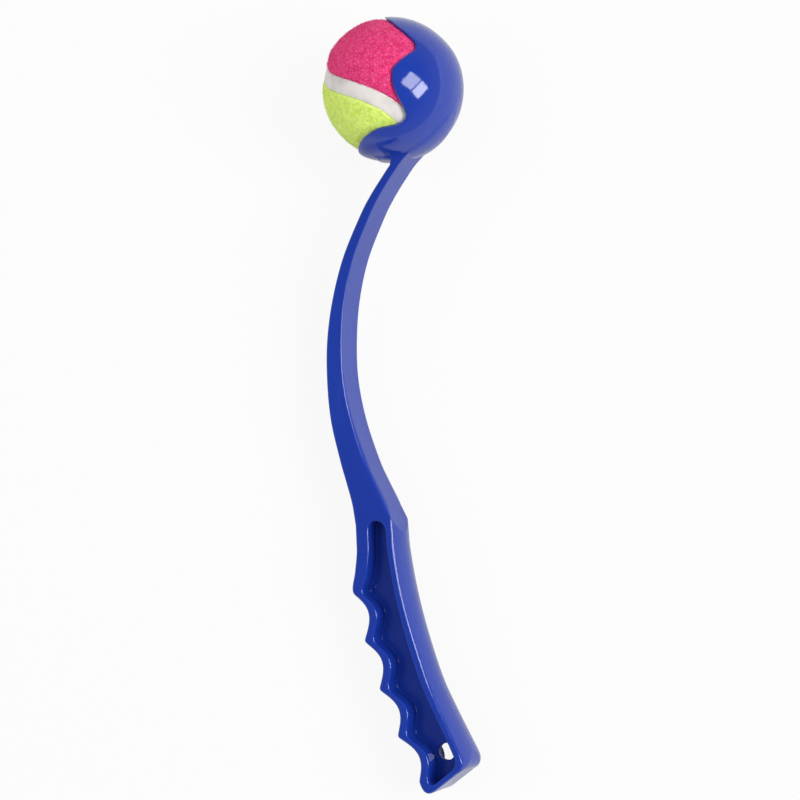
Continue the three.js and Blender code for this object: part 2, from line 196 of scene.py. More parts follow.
class Workbench:
    """Makes meshes out of bmesh shapes, and joins and cuts them."""

    WELD: float = 1e-3
    EVEN_WEIGHT: int = 60
    SPLIT_SIDES: int = 5

    @classmethod
    def sheet(cls, columns: int, rows: int, place: Place) -> Shape:
        """Wraps a plain grid over a surface and welds the edges that meet.

        Args:
            columns: The number of faces along the first direction.
            rows: The number of faces along the second direction.
            place: Gives the point for the shares of the way along both directions.

        Returns:
            The wrapped grid, with its faces turned out.
        """
        shape = bmesh.new()
        bmesh.ops.create_grid(shape, x_segments=columns, y_segments=rows, size=1.0)
        for vert in shape.verts:
            vert.co = place((vert.co.x + 1) / 2, (vert.co.y + 1) / 2)
        bmesh.ops.remove_doubles(shape, verts=shape.verts[:], dist=cls.WELD)
        bmesh.ops.recalc_face_normals(shape, faces=shape.faces[:])
        return shape

    @staticmethod
    def prism(outline: Sequence[Vector], low: float, high: float) -> Shape:
        """Extrudes a flat outline across the moulding.

        Args:
            outline: The outline's corners, in order.
            low: Where the prism starts, across the moulding.
            high: Where it ends.

        Returns:
            The closed prism.
        """
        shape = bmesh.new()
        face = shape.faces.new([shape.verts.new((p.x, p.y, low)) for p in outline])
        made = bmesh.ops.extrude_face_region(shape, geom=[face])["geom"]
        top = [part for part in made if isinstance(part, bmesh.types.BMVert)]
        bmesh.ops.translate(shape, vec=(0, 0, high - low), verts=top)
        bmesh.ops.recalc_face_normals(shape, faces=shape.faces[:])
        return shape

    @staticmethod
    def soften(shape: Shape, edges: list[bmesh.types.BMEdge], size: float, steps: int) -> None:
        """Rounds edges off.

        Args:
            shape: The bmesh that holds the edges.
            edges: The edges to round.
            size: The width of the rounding.
            steps: The number of faces across it.
        """
        bmesh.ops.bevel(
            shape, geom=edges, offset=size, offset_type="OFFSET", segments=steps, profile=0.5,
            affect="EDGES", clamp_overlap=False, loop_slide=False, material=-1,
        )

    @staticmethod
    def piece(name: str, shape: Shape) -> Piece:
        """Puts a bmesh into the scene, and frees it.

        Args:
            name: The new object's name.
            shape: The bmesh, which is used up.

        Returns:
            The new object.
        """
        mesh = bpy.data.meshes.new(name)
        shape.to_mesh(mesh)
        shape.free()
        made = bpy.data.objects.new(name, mesh)
        bpy.context.scene.collection.objects.link(made)
        return made

    @staticmethod
    def settle(piece: Piece) -> None:
        """Turns a piece's modifiers into its plain mesh.

        Args:
            piece: The piece.
        """
        graph = bpy.context.evaluated_depsgraph_get()
        graph.update()
        finished = bpy.data.meshes.new_from_object(piece.evaluated_get(graph))
        old = piece.data
        piece.modifiers.clear()
        piece.data = finished
        bpy.data.meshes.remove(old)

    @classmethod
    def combine(cls, piece: Piece, shape: Shape, cut: Cut) -> None:
        """Joins a solid to a piece, or takes it away from it.

        Args:
            piece: The piece that changes.
            shape: The other solid, which is used up.
            cut: What happens.
        """
        tool = cls.piece("tool", shape)
        modifier = piece.modifiers.new("cut", "BOOLEAN")
        modifier.operation = cut.value
        modifier.solver = "MANIFOLD"
        modifier.object = tool
        cls.settle(piece)
        mesh = tool.data
        bpy.data.objects.remove(tool)
        bpy.data.meshes.remove(mesh)

    @classmethod
    def smooth(cls, piece: Piece, crease: float, sharp: Test = lambda point: False) -> None:
        """Shades a piece smoothly apart from its creases, with large faces kept even.

        Faces of many sides are split at the end, with their shading kept.

        Args:
            piece: The piece.
            crease: The angle in degrees past which an edge stays sharp.
            sharp: Says whether an edge whose middle is at a point stays sharp anyway.
        """
        shape = bmesh.new()
        shape.from_mesh(piece.data)
        limit = math.radians(crease)
        for face in shape.faces:
            face.smooth = True
        for edge in shape.edges:
            middle = (edge.verts[0].co + edge.verts[1].co) / 2
            edge.smooth = edge.calc_face_angle(math.pi) < limit and not sharp(middle)
        shape.to_mesh(piece.data)
        shape.free()
        even = piece.modifiers.new("even", "WEIGHTED_NORMAL")
        even.keep_sharp = True
        even.weight = cls.EVEN_WEIGHT
        split = piece.modifiers.new("split", "TRIANGULATE")
        split.ngon_method = "CLIP"
        split.min_vertices = cls.SPLIT_SIDES
        split.keep_custom_normals = True
        cls.settle(piece)


@dataclass(frozen=True)
class BallSeat:
    """Where the ball sits: sizes that the cup and the ball share, in millimetres.

    The rim's shares are of half a turn: about the mouth's axis, and away from it.
    """

    ball_radius: float = 32.0
    felt: float = 2.7
    gap: float = 0.3
    mouth_lift: float = math.radians(11.8)
    least_spread: float = 0.5
    rim_steps: int = 8
    rim_shares: tuple[Pair, ...] = (
        (0, 0.416), (0.055, 0.428), (0.11, 0.463), (0.141, 0.5), (0.174, 0.542), (0.193, 0.582),
        (0.207, 0.615), (0.217, 0.641), (0.229, 0.659), (0.245, 0.671), (0.272, 0.676),
        (0.312, 0.662), (0.347, 0.647), (0.374, 0.635), (0.402, 0.624), (0.423, 0.62),
        (0.443, 0.623), (0.48, 0.633), (0.516, 0.65), (0.553, 0.671), (0.594, 0.694),
        (0.62, 0.704), (0.645, 0.71), (0.663, 0.707), (0.678, 0.697), (0.69, 0.68),
        (0.698, 0.655), (0.704, 0.622), (0.711, 0.592), (0.721, 0.568), (0.736, 0.546),
        (0.756, 0.523), (0.785, 0.497), (0.83, 0.47), (0.91, 0.441), (1, 0.43),
    )

    @property
    def cavity(self) -> float:
        """The radius of the cup's inside."""
        return self.ball_radius + self.gap

    @property
    def core(self) -> float:
        """The radius of the ball's rubber core."""
        return self.ball_radius - self.felt - self.gap

    def axes(self) -> tuple[Vector, Vector, Vector]:
        """Returns the way out of the mouth, and the upward and sideways directions across it."""
        c, s = math.cos(self.mouth_lift), math.sin(self.mouth_lift)
        return Vector((-c, s, 0)), Vector((s, c, 0)), Vector((0, 0, 1))

    def towards(self, around: float, away: float) -> Vector:
        """Turns two angles into a direction.

        Args:
            around: The angle about the mouth's axis, from its upward direction.
            away: The angle away from the mouth's axis.

        Returns:
            The direction from the ball's centre.
        """
        out, up, side = self.axes()
        across = up * math.cos(around) + side * math.sin(around)
        return out * math.cos(away) + across * math.sin(away)

    def angles(self, direction: Vector) -> Pair:
        """Turns a direction into two angles.

        Args:
            direction: The direction from the ball's centre.

        Returns:
            The angles about the mouth's axis and away from it.
        """
        out, up, side = self.axes()
        around = math.atan2(direction.dot(side), direction.dot(up))
        return around, math.acos(held(direction.dot(out), -1.0))

    def inner(self, away: float) -> float:
        """Returns the cup's inner radius, which runs straight on past the ball's widest ring."""
        spread = max(math.sin(away), self.least_spread)
        return self.cavity / spread if away < math.pi / 2 else self.cavity

    def rim(self) -> Callable[[float], float]:
        """Draws the rim's line.

        Returns:
            A function that gives the rim's angle away from the mouth's axis, for one about it.
        """
        line = through([Vector(shares) for shares in self.rim_shares], self.rim_steps)
        places = np.array([p.x for p in line])
        aways = np.array([p.y for p in line]) * math.pi

        def away_at(around: float) -> float:
            """Gives the rim's angle away from the axis at an angle about it."""
            turned = abs(math.remainder(around, 2 * math.pi)) / math.pi
            return float(np.interp(turned, places, aways))

        return away_at


@dataclass
class Cup:
    """The lobed ball cup, a thin moulded bowl with a rounded rim, in millimetres and degrees."""

    seat: BallSeat = field(default_factory=BallSeat)
    wall: float = 2.05
    tip_wall: float = 0.4
    finger_thinning: float = 0.55
    thin_start: float = 62.0
    thin_start_fade: float = 14.0
    thin_end: float = 142.0
    thin_end_fade: float = 25.0
    thin_lean: float = 1.4
    tongue_height: float = 0.6
    tongue_softness: float = 3.2
    tongue_half_width: float = 9.4
    tongue_start: float = 27.0
    tongue_length: float = 57.0
    tongue_lead_share: float = 0.6
    tongue_fade_share: float = 0.7
    tongue_taper: float = 1.9
    columns: int = 360
    rim_fineness: int = 4
    outer_rows: int = 64
    rim_rows: int = 6
    inner_rows: int = 22

    def tongue(self, direction: Vector) -> float:
        """Works out how far the shaft's spine stands up on the cup's back.

        Args:
            direction: A direction from the ball's centre.

        Returns:
            The height there.
        """
        turn = math.degrees(math.atan2(direction.x, -direction.y))
        along = (turn - self.tongue_start) / self.tongue_length
        if not -self.tongue_lead_share < along < 1:
            return 0.0
        half = self.tongue_half_width * (1 - max(along, 0.0) ** self.tongue_taper)
        height = self.tongue_height * ease((1 - along) / self.tongue_fade_share)
        beside = abs(direction.z) * (self.seat.cavity + self.wall)
        return height * ease((half - beside) / self.tongue_softness + 0.5)

    def outer(self, direction: Vector) -> float:
        """Works out the cup's outer radius.

        Args:
            direction: A direction from the ball's centre.

        Returns:
            The radius there.
        """
        around, away = self.seat.angles(direction)
        turned = math.degrees(away)
        thin = ease((self.thin_end - turned) / self.thin_end_fade)
        thin *= ease((turned - self.thin_start) / self.thin_start_fade)
        thin *= ease(math.cos(around) * self.thin_lean)
        plain = self.seat.cavity + self.wall - self.finger_thinning * thin
        return max(plain + self.tongue(direction), self.seat.inner(away) + self.tip_wall)

    def solid(self) -> Shape:
        """Builds the bowl: its outside, its rounded rim and its inside in one wrapped grid.

        Returns:
            The closed bowl.
        """
        rim_at = self.seat.rim()
        rows = self.outer_rows + self.rim_rows + self.inner_rows
        turns = np.linspace(0, 2 * math.pi, self.rim_fineness * self.columns + 1)
        line = [self.seat.towards(turn, rim_at(turn)) for turn in turns]
        far = np.cumsum([0.0] + [(b - a).length for a, b in zip(line, line[1:])])

        def place(across: float, along: float) -> Vector:
            """Gives a point of the bowl.

            Args:
                across: The share of the way along the rim.
                along: The share of the way from the outer pole, over the rim, to the inner one.

            Returns:
                The point.
            """
            around = float(np.interp(across * far[-1], far, turns))
            edge = rim_at(around)
            row = along * rows
            thick = self.outer(self.seat.towards(around, edge)) - self.seat.inner(edge)
            roll = thick / 2 / self.seat.cavity
            if row <= self.outer_rows:
                away = mix(math.pi, edge + roll, row / self.outer_rows)
                direction = self.seat.towards(around, away)
                return direction * self.outer(direction)
            if row < self.outer_rows + self.rim_rows:
                turn = math.pi * (row - self.outer_rows) / self.rim_rows
                away = edge + roll * (1 - math.sin(turn))
                middle = self.seat.inner(away) + thick / 2
                return self.seat.towards(around, away) * (middle + thick / 2 * math.cos(turn))
            share = (row - self.outer_rows - self.rim_rows) / self.inner_rows
            away = mix(edge + roll, math.pi, share)
            return self.seat.towards(around, away) * self.seat.inner(away)

        return Workbench.sheet(self.columns, rows, place)


@dataclass
class Stem:
    """The bowed shaft and the pocketed, finger-grooved handle, in millimetres and radians.

    The shares are of the way down the stem, paired with shares of the sweep aside, of the
    thickening, or of the throat's flare.
    """

    # The whole stem, and the neck's roots under the cup
    seat: BallSeat = field(default_factory=BallSeat)
    cup_wall: float = 1.55
    reach: float = 332.4
    sweep: float = 63.9
    neck_thickness: float = 4.8
    shoulder_thickness: float = 18.7
    shaft_width: float = 18.8
    heel_width: float = 25.2
    widening_share: float = 0.3988
    waist: float = 1.1
    waist_drops: Pair = (225.0, 325.0)
    waist_swell_share: float = 0.44
    shoulder: Pair = (0.5647, 0.066)
    neck_root_turn: float = math.radians(27)
    neck_fillet_turn: float = math.radians(14.5)
    neck_fillet_lift: float = 2.5
    neck_front_turn: float = math.radians(6)
    neck_inner_turn: float = math.radians(38)
    root_depth: float = 4.4
    # Rounded edges, and the crowned back of the grip
    edge_round: float = 1.1
    crisp_round: float = 0.7
    soft_round: float = 2.4
    softening_start: float = 105.0
    softening_length: float = 85.0
    ridge_round: float = 0.9
    ridge_fade: float = 6.0
    crown: float = 2.2
    crown_rise: float = 0.34
    # Grip
    grip_depth: float = 24.9
    grip_slant: float = math.radians(21.7)
    groove_count: int = 4
    groove_pitch: float = 23.585
    groove_depth: float = 5.4
    ridge_bowing: float = 3.7
    ridge_softness: float = 0.14
    ridge_crowding: float = 0.8
    tip_round: float = 1.3
    toe_length: float = 7.91
    toe_round: float = 7.0
    heel_round: float = 5.4
    # Pockets
    web: float = 2.6
    finger_wall: float = 4.7
    far_finger_wall: float = 3.6
    throat_wall: float = 6.6
    throat_trim: tuple[int, int] = (4, 8)
    back_wall: float = 3.2
    end_wall: float = 2.8
    pocket_softness: float = 0.45
    pocket_lag: float = 1.2
    pocket_top_drop: float = 1.1
    pocket_round: float = 3.0
    pocket_gap: float = 0.7
    pocket_smoothing: int = 12
    pocket_overrun: float = 2.0
    rim_round: float = 1.0
    floor_round: float = 0.6
    level_slack: float = 0.02
    square_turn: float = 1.2
    # Hanging hole and ejector marks
    hole_diameter: float = 8.0
    hole_rise: float = 9.6
    hole_inset: float = 10.7
    hole_flare: float = 0.35
    hole_overrun: float = 1.0
    hole_margin: float = 1.0
    ejector_place: Pair = (-7.9, -235.0)
    ejector_radius: float = 1.0
    ejector_rise: float = 0.4
    ejector_margin: float = 0.3
    # Fineness
    back_steps: int = 16
    curve_steps: int = 6
    groove_steps: int = 36
    edge_steps: int = 5
    wall_bays: int = 24
    round_steps: int = 64
    flare_steps: int = 4
    dome_steps: int = 10
    # Edges
    shaft_front_share: float = 0.55
    shaft_back_shares: tuple[Pair, ...] = (
        (0.0269, 0.062), (0.0581, -0.036), (0.0904, -0.117), (0.1538, -0.243), (0.2184, -0.313),
        (0.2819, -0.336), (0.3453, -0.321), (0.4099, -0.253), (0.4734, -0.144), (0.5057, -0.07),
        (0.5368, 0.008), (0.5647, 0.066),
    )
    grip_back_shares: tuple[Pair, ...] = (
        (0.5647, 0.066), (0.5858, 0.075), (0.6137, 0.087), (0.6649, 0.13), (0.7161, 0.188),
        (0.7673, 0.261), (0.8185, 0.348), (0.8553, 0.432), (0.9076, 0.564), (0.9454, 0.664),
    )
    thickening_shares: tuple[Pair, ...] = (
        (0.0325, 0), (0.0948, 0.028), (0.1583, 0.057), (0.2206, 0.12), (0.2841, 0.213),
        (0.3464, 0.29), (0.4088, 0.457), (0.4723, 0.603), (0.5034, 0.716), (0.5346, 0.865),
        (0.5647, 1),
    )
    throat_shares: tuple[Pair, ...] = (
        (0.1, -0.01), (0.185, 0), (0.3, 0.015), (0.415, 0.05), (0.53, 0.17), (0.64, 0.34),
        (0.754, 0.53), (0.868, 0.79), (0.94, 0.93),
    )

    def __post_init__(self) -> None:
        """Works out the edges that the outlines share."""
        self.cup_radius: float = self.seat.cavity + self.cup_wall
        self.half: float = self.shaft_width / 2
        slant = self.grip_slant
        self.down: Vector = Vector((math.sin(slant), -math.cos(slant)))
        self.out: Vector = Vector((-math.cos(slant), -math.sin(slant)))
        neck = [
            self.below_cup(self.neck_root_turn, self.cup_radius - self.cup_wall / 2),
            self.below_cup(self.neck_fillet_turn, self.cup_radius + self.neck_fillet_lift),
        ]
        shaft = [self.place(shares) for shares in self.shaft_back_shares]
        grip = [self.place(shares) for shares in self.grip_back_shares]
        self.shaft_back: list[Vector] = through(neck + shaft, self.back_steps)
        self.grip_back: list[Vector] = through(grip, self.back_steps)
        self.heel: Vector = self.grip_back[-1]
        self.grip_length: float = self.groove_count * self.groove_pitch
        toe_below = self.grip_length + self.toe_length
        self.ridge_drop: float = self.reach - toe_below * math.cos(slant)
        ridge_aside = self.back_aside(self.ridge_drop) - self.grip_depth
        self.first_ridge: Vector = Vector((ridge_aside, -self.ridge_drop))
        self.toe: Vector = self.first_ridge + self.down * toe_below
        self.shoulder_drop: float = self.drop_at(self.shoulder[0])

    def drop_at(self, share: float) -> float:
        """Returns the distance below the ball's centre at a share of the way down the stem."""
        return self.cup_radius + share * (self.reach - self.cup_radius)

    def share_at(self, drop: float) -> float:
        """Returns the share of the way down the stem at a distance below the ball's centre."""
        return (drop - self.cup_radius) / (self.reach - self.cup_radius)

    def place(self, shares: Pair) -> Vector:
        """Returns the point at a share of the way down and a share of the sweep aside."""
        return Vector((shares[1] * self.sweep, -self.drop_at(shares[0])))

    def below_cup(self, turn: float, radius: float) -> Vector:
        """Returns a point under the cup, at a turn from straight down and a radius."""
        return Vector((radius * math.sin(turn), -radius * math.cos(turn)))

    def back_aside(self, drop: float) -> float:
        """Returns how far aside the handle's back edge is at a drop."""
        drops = [-p.y for p in self.grip_back]
        return float(np.interp(drop, drops, [p.x for p in self.grip_back]))

    def waisted(self, drop: float) -> float:
        """Returns how far a drop is inside the grip's waist: 0 outside it and 1 in its middle."""
        start, end = self.waist_drops
        return math.sin(math.pi * held((drop - start) / (end - start))) ** 2

    def half_width(self, drop: float) -> float:
        """Works out half the handle's width across the moulding.

        Args:
            drop: The distance below the ball's centre.

        Returns:
            Half the width there.
        """
        way = (self.share_at(drop) - self.widening_share) / (1 - self.widening_share)
        wide = mix(self.shaft_width, self.heel_width, held(way))
        return wide / 2 - self.waist * self.waisted(drop)

    def finger_point(self, below: float, softness: float, inset: float) -> Vector:
        """Finds a point of the grooved finger side.

        Args:
            below: The distance below the first ridge.
            softness: How rounded the ridges are, as a share.
            inset: How far inside the edge the point lies.

        Returns:
            The point.
        """
        wave = abs(math.sin(math.pi * below / self.groove_pitch))
        deep = (math.hypot(wave, softness) - softness) / (math.hypot(1, softness) - softness)
        bow = self.ridge_bowing * math.sin(math.pi * below / self.grip_length)
        aside = self.out * (bow - self.groove_depth * deep - inset)
        return self.first_ridge + self.down * below + aside

    def fingers(self, softness: float, inset: float, end: float) -> list[Vector]:
        """Draws the finger side from the first ridge down, its points crowded at the ridges.

        Args:
            softness: How rounded the ridges are, as a share.
            inset: How far inside the edge the line lies.
            end: How far down it goes.

        Returns:
            The line's points.
        """
        points = []
        for i in range(int(end / self.groove_pitch * self.groove_steps) + 1):
            turns = i / self.groove_steps
            crowding = self.ridge_crowding * math.sin(2 * math.pi * turns) / (2 * math.pi)
            below = (turns - crowding) * self.groove_pitch
            points.append(self.finger_point(below, softness, inset))
        return points

    def throat(self) -> list[Vector]:
        """Draws the finger side between the shoulder and the first ridge.

        Returns:
            The smoothed line's points.
        """
        points = []
        for way, flare in self.throat_shares:
            drop = mix(self.shoulder_drop, self.ridge_drop, way)
            depth = mix(self.shoulder_thickness, self.grip_depth, flare)
            points.append(Vector((self.back_aside(drop) - depth, -drop)))
        return through(points, self.curve_steps)

    def shaft_front(self) -> list[Vector]:
        """Draws the finger side of the shaft, from the cup down to the shoulder.

        Returns:
            The line's points.
        """
        table = through([Vector(row) for row in self.thickening_shares], self.curve_steps)
        places, shares = [p.x for p in table], [p.y for p in table]
        points = [self.below_cup(self.neck_front_turn, self.cup_radius - self.cup_wall / 2)]
        start, end = self.cup_radius + self.neck_fillet_lift, self.drop_at(self.shaft_front_share)
        for p in self.shaft_back:
            if start < -p.y < end:
                share = float(np.interp(self.share_at(-p.y), places, shares))
                thick = mix(self.neck_thickness, self.shoulder_thickness, share)
                points.append(Vector((p.x - thick, p.y)))
        return points

    def back_round(self, drop: float) -> float:
        """Works out the rounding of the back's edges: crisp by the cup, then ever softer.

        Args:
            drop: The distance below the ball's centre.

        Returns:
            The rounding there, which ends in the grip's own at the shoulder.
        """
        softened = ease((drop - self.softening_start) / self.softening_length)
        soft = mix(self.crisp_round, self.soft_round, softened)
        return mix(self.ridge_round, soft, min((self.shoulder_drop - drop) / self.ridge_fade, 1))

    def outline(self) -> list[Station]:
        """Draws the stem's whole outline.

        Returns:
            For each point its place, the rounding of the edges there, and how far the wall is
            crowned between them.
        """
        inside = self.seat.core - self.root_depth
        tip, edge = self.first_ridge, self.edge_round
        fingers = self.fingers(self.ridge_softness, 0, self.grip_length)[::-1]
        fingers = [p for p in fingers if (p - tip).length > self.tip_round]
        throat = [p for p in self.throat() if (p - tip).length > self.tip_round][::-1]
        back = [p for p in self.grip_back[1:] if (p - self.heel).length > self.heel_round]
        heel = rounded_corner(back[-1], self.heel, self.toe, self.heel_round)
        swell = Vector((self.waist_swell_share * self.waist, 0))
        crowned = []
        for p in back:
            crown = min(self.crown, self.crown_rise * (-p.y - self.shoulder_drop))
            crowned.append((p + swell * self.waisted(-p.y), self.ridge_round, crown))
        for i, p in enumerate(heel):
            share = i / len(heel)
            crowned.append((p, mix(self.ridge_round, edge, share), self.crown * (1 - share)))
        plain = [
            *rounded_corner(self.heel, self.toe, fingers[0], self.toe_round),
            *fingers[1:],
            *rounded_corner(fingers[-1], tip, throat[0], self.tip_round)[1:-1],
            *throat,
            *self.shaft_front()[::-1],
        ]
        return [
            (self.below_cup(self.neck_front_turn, inside), edge, 0.0),
            (self.below_cup(self.neck_inner_turn, inside), edge, 0.0),
            *((p, self.back_round(-p.y), 0.0) for p in self.shaft_back),
            *crowned,
            *((p, edge, 0.0) for p in plain),
        ]

    def slab(self) -> Shape:
        """Builds the slab: a wall round the outline with rounded edges, and its two flat sides.

        Returns:
            The closed slab.
        """
        rows = self.outline()
        count, steps, bays = len(rows), self.edge_steps, self.wall_bays
        quarter = [math.pi / 2 * i / steps for i in range(steps + 1)]

        def wall(around: float, across: float) -> Vector:
            """Gives a point of the wall.

            Args:
                around: The share of the way round the outline.
                across: The share of the way from one side to the other.

            Returns:
                The point.
            """
            at, j = round(around * count) % count, round(across * (2 * steps + bays))
            point, edge, crown = rows[at]
            ahead = rows[(at + 1) % count][0] - rows[at - 1][0]
            normal = Vector((-ahead.y, ahead.x)).normalized()
            flip = -1 if j > steps + bays / 2 else 1
            j = min(j, 2 * steps + bays - j)
            turn = quarter[min(j, steps)]
            inset = edge * (1 - math.sin(turn))
            z = self.half - edge * (1 - math.cos(turn))
            if j > steps:
                z *= 1 - (j - steps) * 2 / bays
            z *= flip
            bulge = min(crown, self.crown * (1 - (z / self.half) ** 2))
            spot = point + normal * (bulge - inset)
            return Vector((spot.x, spot.y, z))

        shape = Workbench.sheet(count, 2 * steps + bays, wall)
        bmesh.ops.edgeloop_fill(shape, edges=[e for e in shape.edges if e.is_boundary])
        bmesh.ops.recalc_face_normals(shape, faces=shape.faces[:])
        return shape

    def pocket_outline(self, finger_wall: float, lag: float) -> list[Vector]:
        """Draws the outline of a pocket, a wall's thickness inside the handle's edges.

        Args:
            finger_wall: The wall's thickness along the grooves.
            lag: How far down the grip the pocket's own grooves lie from the outer ones.

        Returns:
            The outline's points, evenly spread.
        """
        top = self.shoulder_drop + self.pocket_top_drop
        inward = self.back_wall / math.cos(self.grip_slant)
        limit = self.heel_round + self.back_wall + self.end_wall
        back = [p for p in self.grip_back if -p.y > top + self.pocket_round]
        back = [Vector((p.x - inward, p.y)) for p in back]
        back = [p for p in back if (p - self.heel).length > limit]
        along_end = (self.toe - self.heel).normalized()
        into = Vector((-along_end.y, along_end.x))
        into = into if into.y > 0 else -into
        grooves = self.fingers(self.pocket_softness, finger_wall, self.grip_length - self.end_wall)
        fingers = [p + self.down * lag for p in grooves][::-1]
        heel = self.heel + into * self.end_wall + along_end * self.back_wall
        toe = self.toe + into * self.end_wall - along_end * finger_wall
        first, last = self.throat_trim
        front = [p + Vector((self.throat_wall, 0)) for p in self.throat()[first:-last]][::-1]
        top_back = Vector((back[0].x - self.pocket_round / 2, -top))
        top_front = Vector((front[-1].x, -top))
        corners = [
            *back,
            *rounded_corner(back[-1], heel, toe, self.pocket_round),
            *rounded_corner(heel, toe, fingers[0], self.pocket_round),
            *fingers,
            *front,
            *rounded_corner(front[-1], top_front, top_back, self.pocket_round),
            *rounded_corner(top_front, top_back, back[0], self.pocket_round),
        ]
        return even_loop(corners, self.pocket_gap, self.pocket_smoothing)

    def hole_centre(self) -> Vector:
        """Returns the centre of the hanging hole."""
        return self.heel - self.down * self.hole_rise + self.out * self.hole_inset

    def turned(self, centre: Vector, profile: Sequence[Pair]) -> Shape:
        """Turns a profile about an axis across the moulding.

        Args:
            centre: Where the axis is.
            profile: Radius and height of each corner, from axis to axis.

        Returns:
            The closed round solid.
        """
        last = len(profile) - 1

        def place(around: float, along: float) -> Vector:
            """Gives the point for shares of the way round and along the profile."""
            (wide, z), turn = profile[round(along * last)], 2 * math.pi * around
            return Vector((centre.x + wide * math.cos(turn), centre.y + wide * math.sin(turn), z))

        return Workbench.sheet(self.round_steps, last, place)

    def hole_plug(self) -> Shape:
        """Builds the plug that cuts the hanging hole, flared at both ends to round its rims.

        Returns:
            The closed plug.
        """
        radius, flare, thin = self.hole_diameter / 2, self.hole_flare, self.web / 2
        turns = [math.pi / 2 * i / self.flare_steps for i in range(self.flare_steps + 1)]
        half = [
            (radius + flare * (1 - math.cos(turn)), thin - flare + flare * math.sin(turn))
            for turn in turns
        ]
        end = thin + self.hole_overrun
        half += [(radius + flare, end), (0.0, end)]
        return self.turned(self.hole_centre(), [(wide, -z) for wide, z in half[::-1]] + half)

    def ejector_mark(self, side: int) -> Shape:
        """Builds the small dome that an ejector pin leaves on the web.

        Args:
            side: 1 for the near side of the web and -1 for the far side.

        Returns:
            The closed dome, with a foot inside the web.
        """
        wide, rise, thin = self.ejector_radius, self.ejector_rise, self.web / 2
        curve, steps = (wide**2 + rise**2) / (2 * rise), self.dome_steps
        turns = [math.asin(wide / curve) * i / steps for i in range(steps + 1)]
        dome = [(curve * math.sin(t), thin + rise - curve * (1 - math.cos(t))) for t in turns]
        profile = [*dome, (wide, thin / 2), (0.0, thin / 2)]
        return self.turned(Vector(self.ejector_place), [(r, side * z) for r, z in profile])

    def widen(self, piece: Piece) -> None:
        """Widens the handle towards its end and keeps the web's thickness.

        Args:
            piece: The stem, which is as wide as the shaft all the way down.
        """
        thin = self.web / 2
        for vert in piece.data.vertices:
            if abs(vert.co.z) > thin:
                past = (abs(vert.co.z) - thin) / (self.half - thin)
                wide = thin + past * (self.half_width(-vert.co.y) - thin)
                vert.co.z = math.copysign(wide, vert.co.z)

    def corner_edges(self, shape: Shape, height: float, near: Test) -> list[bmesh.types.BMEdge]:
        """Finds square edges at a height across the moulding, on both sides.

        Args:
            shape: The bmesh to search.
            height: The distance from the mid plane.
            near: Says whether a point belongs to the wanted edges.

        Returns:
            The edges.
        """
        found = []
        for edge in shape.edges:
            level = all(abs(abs(v.co.z) - height) < self.level_slack for v in edge.verts)
            paired = len(edge.link_faces) == 2
            if level and paired and edge.calc_face_angle(0.0) > self.square_turn:
                if near((edge.verts[0].co + edge.verts[1].co) / 2):
                    found.append(edge)
        return found

    def solid(self) -> Piece:
        """Builds the stem: the slab, less its pockets and the hanging hole, with ejector marks.

        Returns:
            The stem, with its pockets' edges still square.
        """
        piece = Workbench.piece("launcher_moulding", self.slab())
        near = self.pocket_outline(self.finger_wall, self.pocket_lag)
        far = self.pocket_outline(self.far_finger_wall, 0.0)
        thin, over = self.web / 2, self.half + self.pocket_overrun
        for pocket, low, high in ((near, thin, over), (far, -over, -thin)):
            Workbench.combine(piece, Workbench.prism(pocket, low, high), Cut.TAKE_AWAY)
        Workbench.combine(piece, self.hole_plug(), Cut.TAKE_AWAY)
        for side in (1, -1):
            Workbench.combine(piece, self.ejector_mark(side), Cut.JOIN)
        return piece

    def finish_edges(self, piece: Piece) -> None:
        """Rounds the pockets' rims and floors, and widens the handle.

        Args:
            piece: The stem.
        """
        hole, mark = self.hole_centre(), Vector(self.ejector_place)
        hole_reach = self.hole_diameter / 2 + self.hole_margin
        mark_reach = self.ejector_radius + self.ejector_margin

        def on_rim(point: Vector) -> bool:
            """Says whether a point is on a pocket's rim."""
            return -point.y > self.shoulder_drop

        def on_floor(point: Vector) -> bool:
            """Says whether a point is where a pocket's wall meets the web."""
            spot = point.xy
            return (spot - hole).length > hole_reach and (spot - mark).length > mark_reach

        shape = bmesh.new()
        shape.from_mesh(piece.data)
        rims = self.corner_edges(shape, self.half, on_rim)
        Workbench.soften(shape, rims, self.rim_round, self.edge_steps)
        floors = self.corner_edges(shape, self.web / 2, on_floor)
        Workbench.soften(shape, floors, self.floor_round, self.edge_steps)
        shape.to_mesh(piece.data)
        shape.free()
        self.widen(piece)


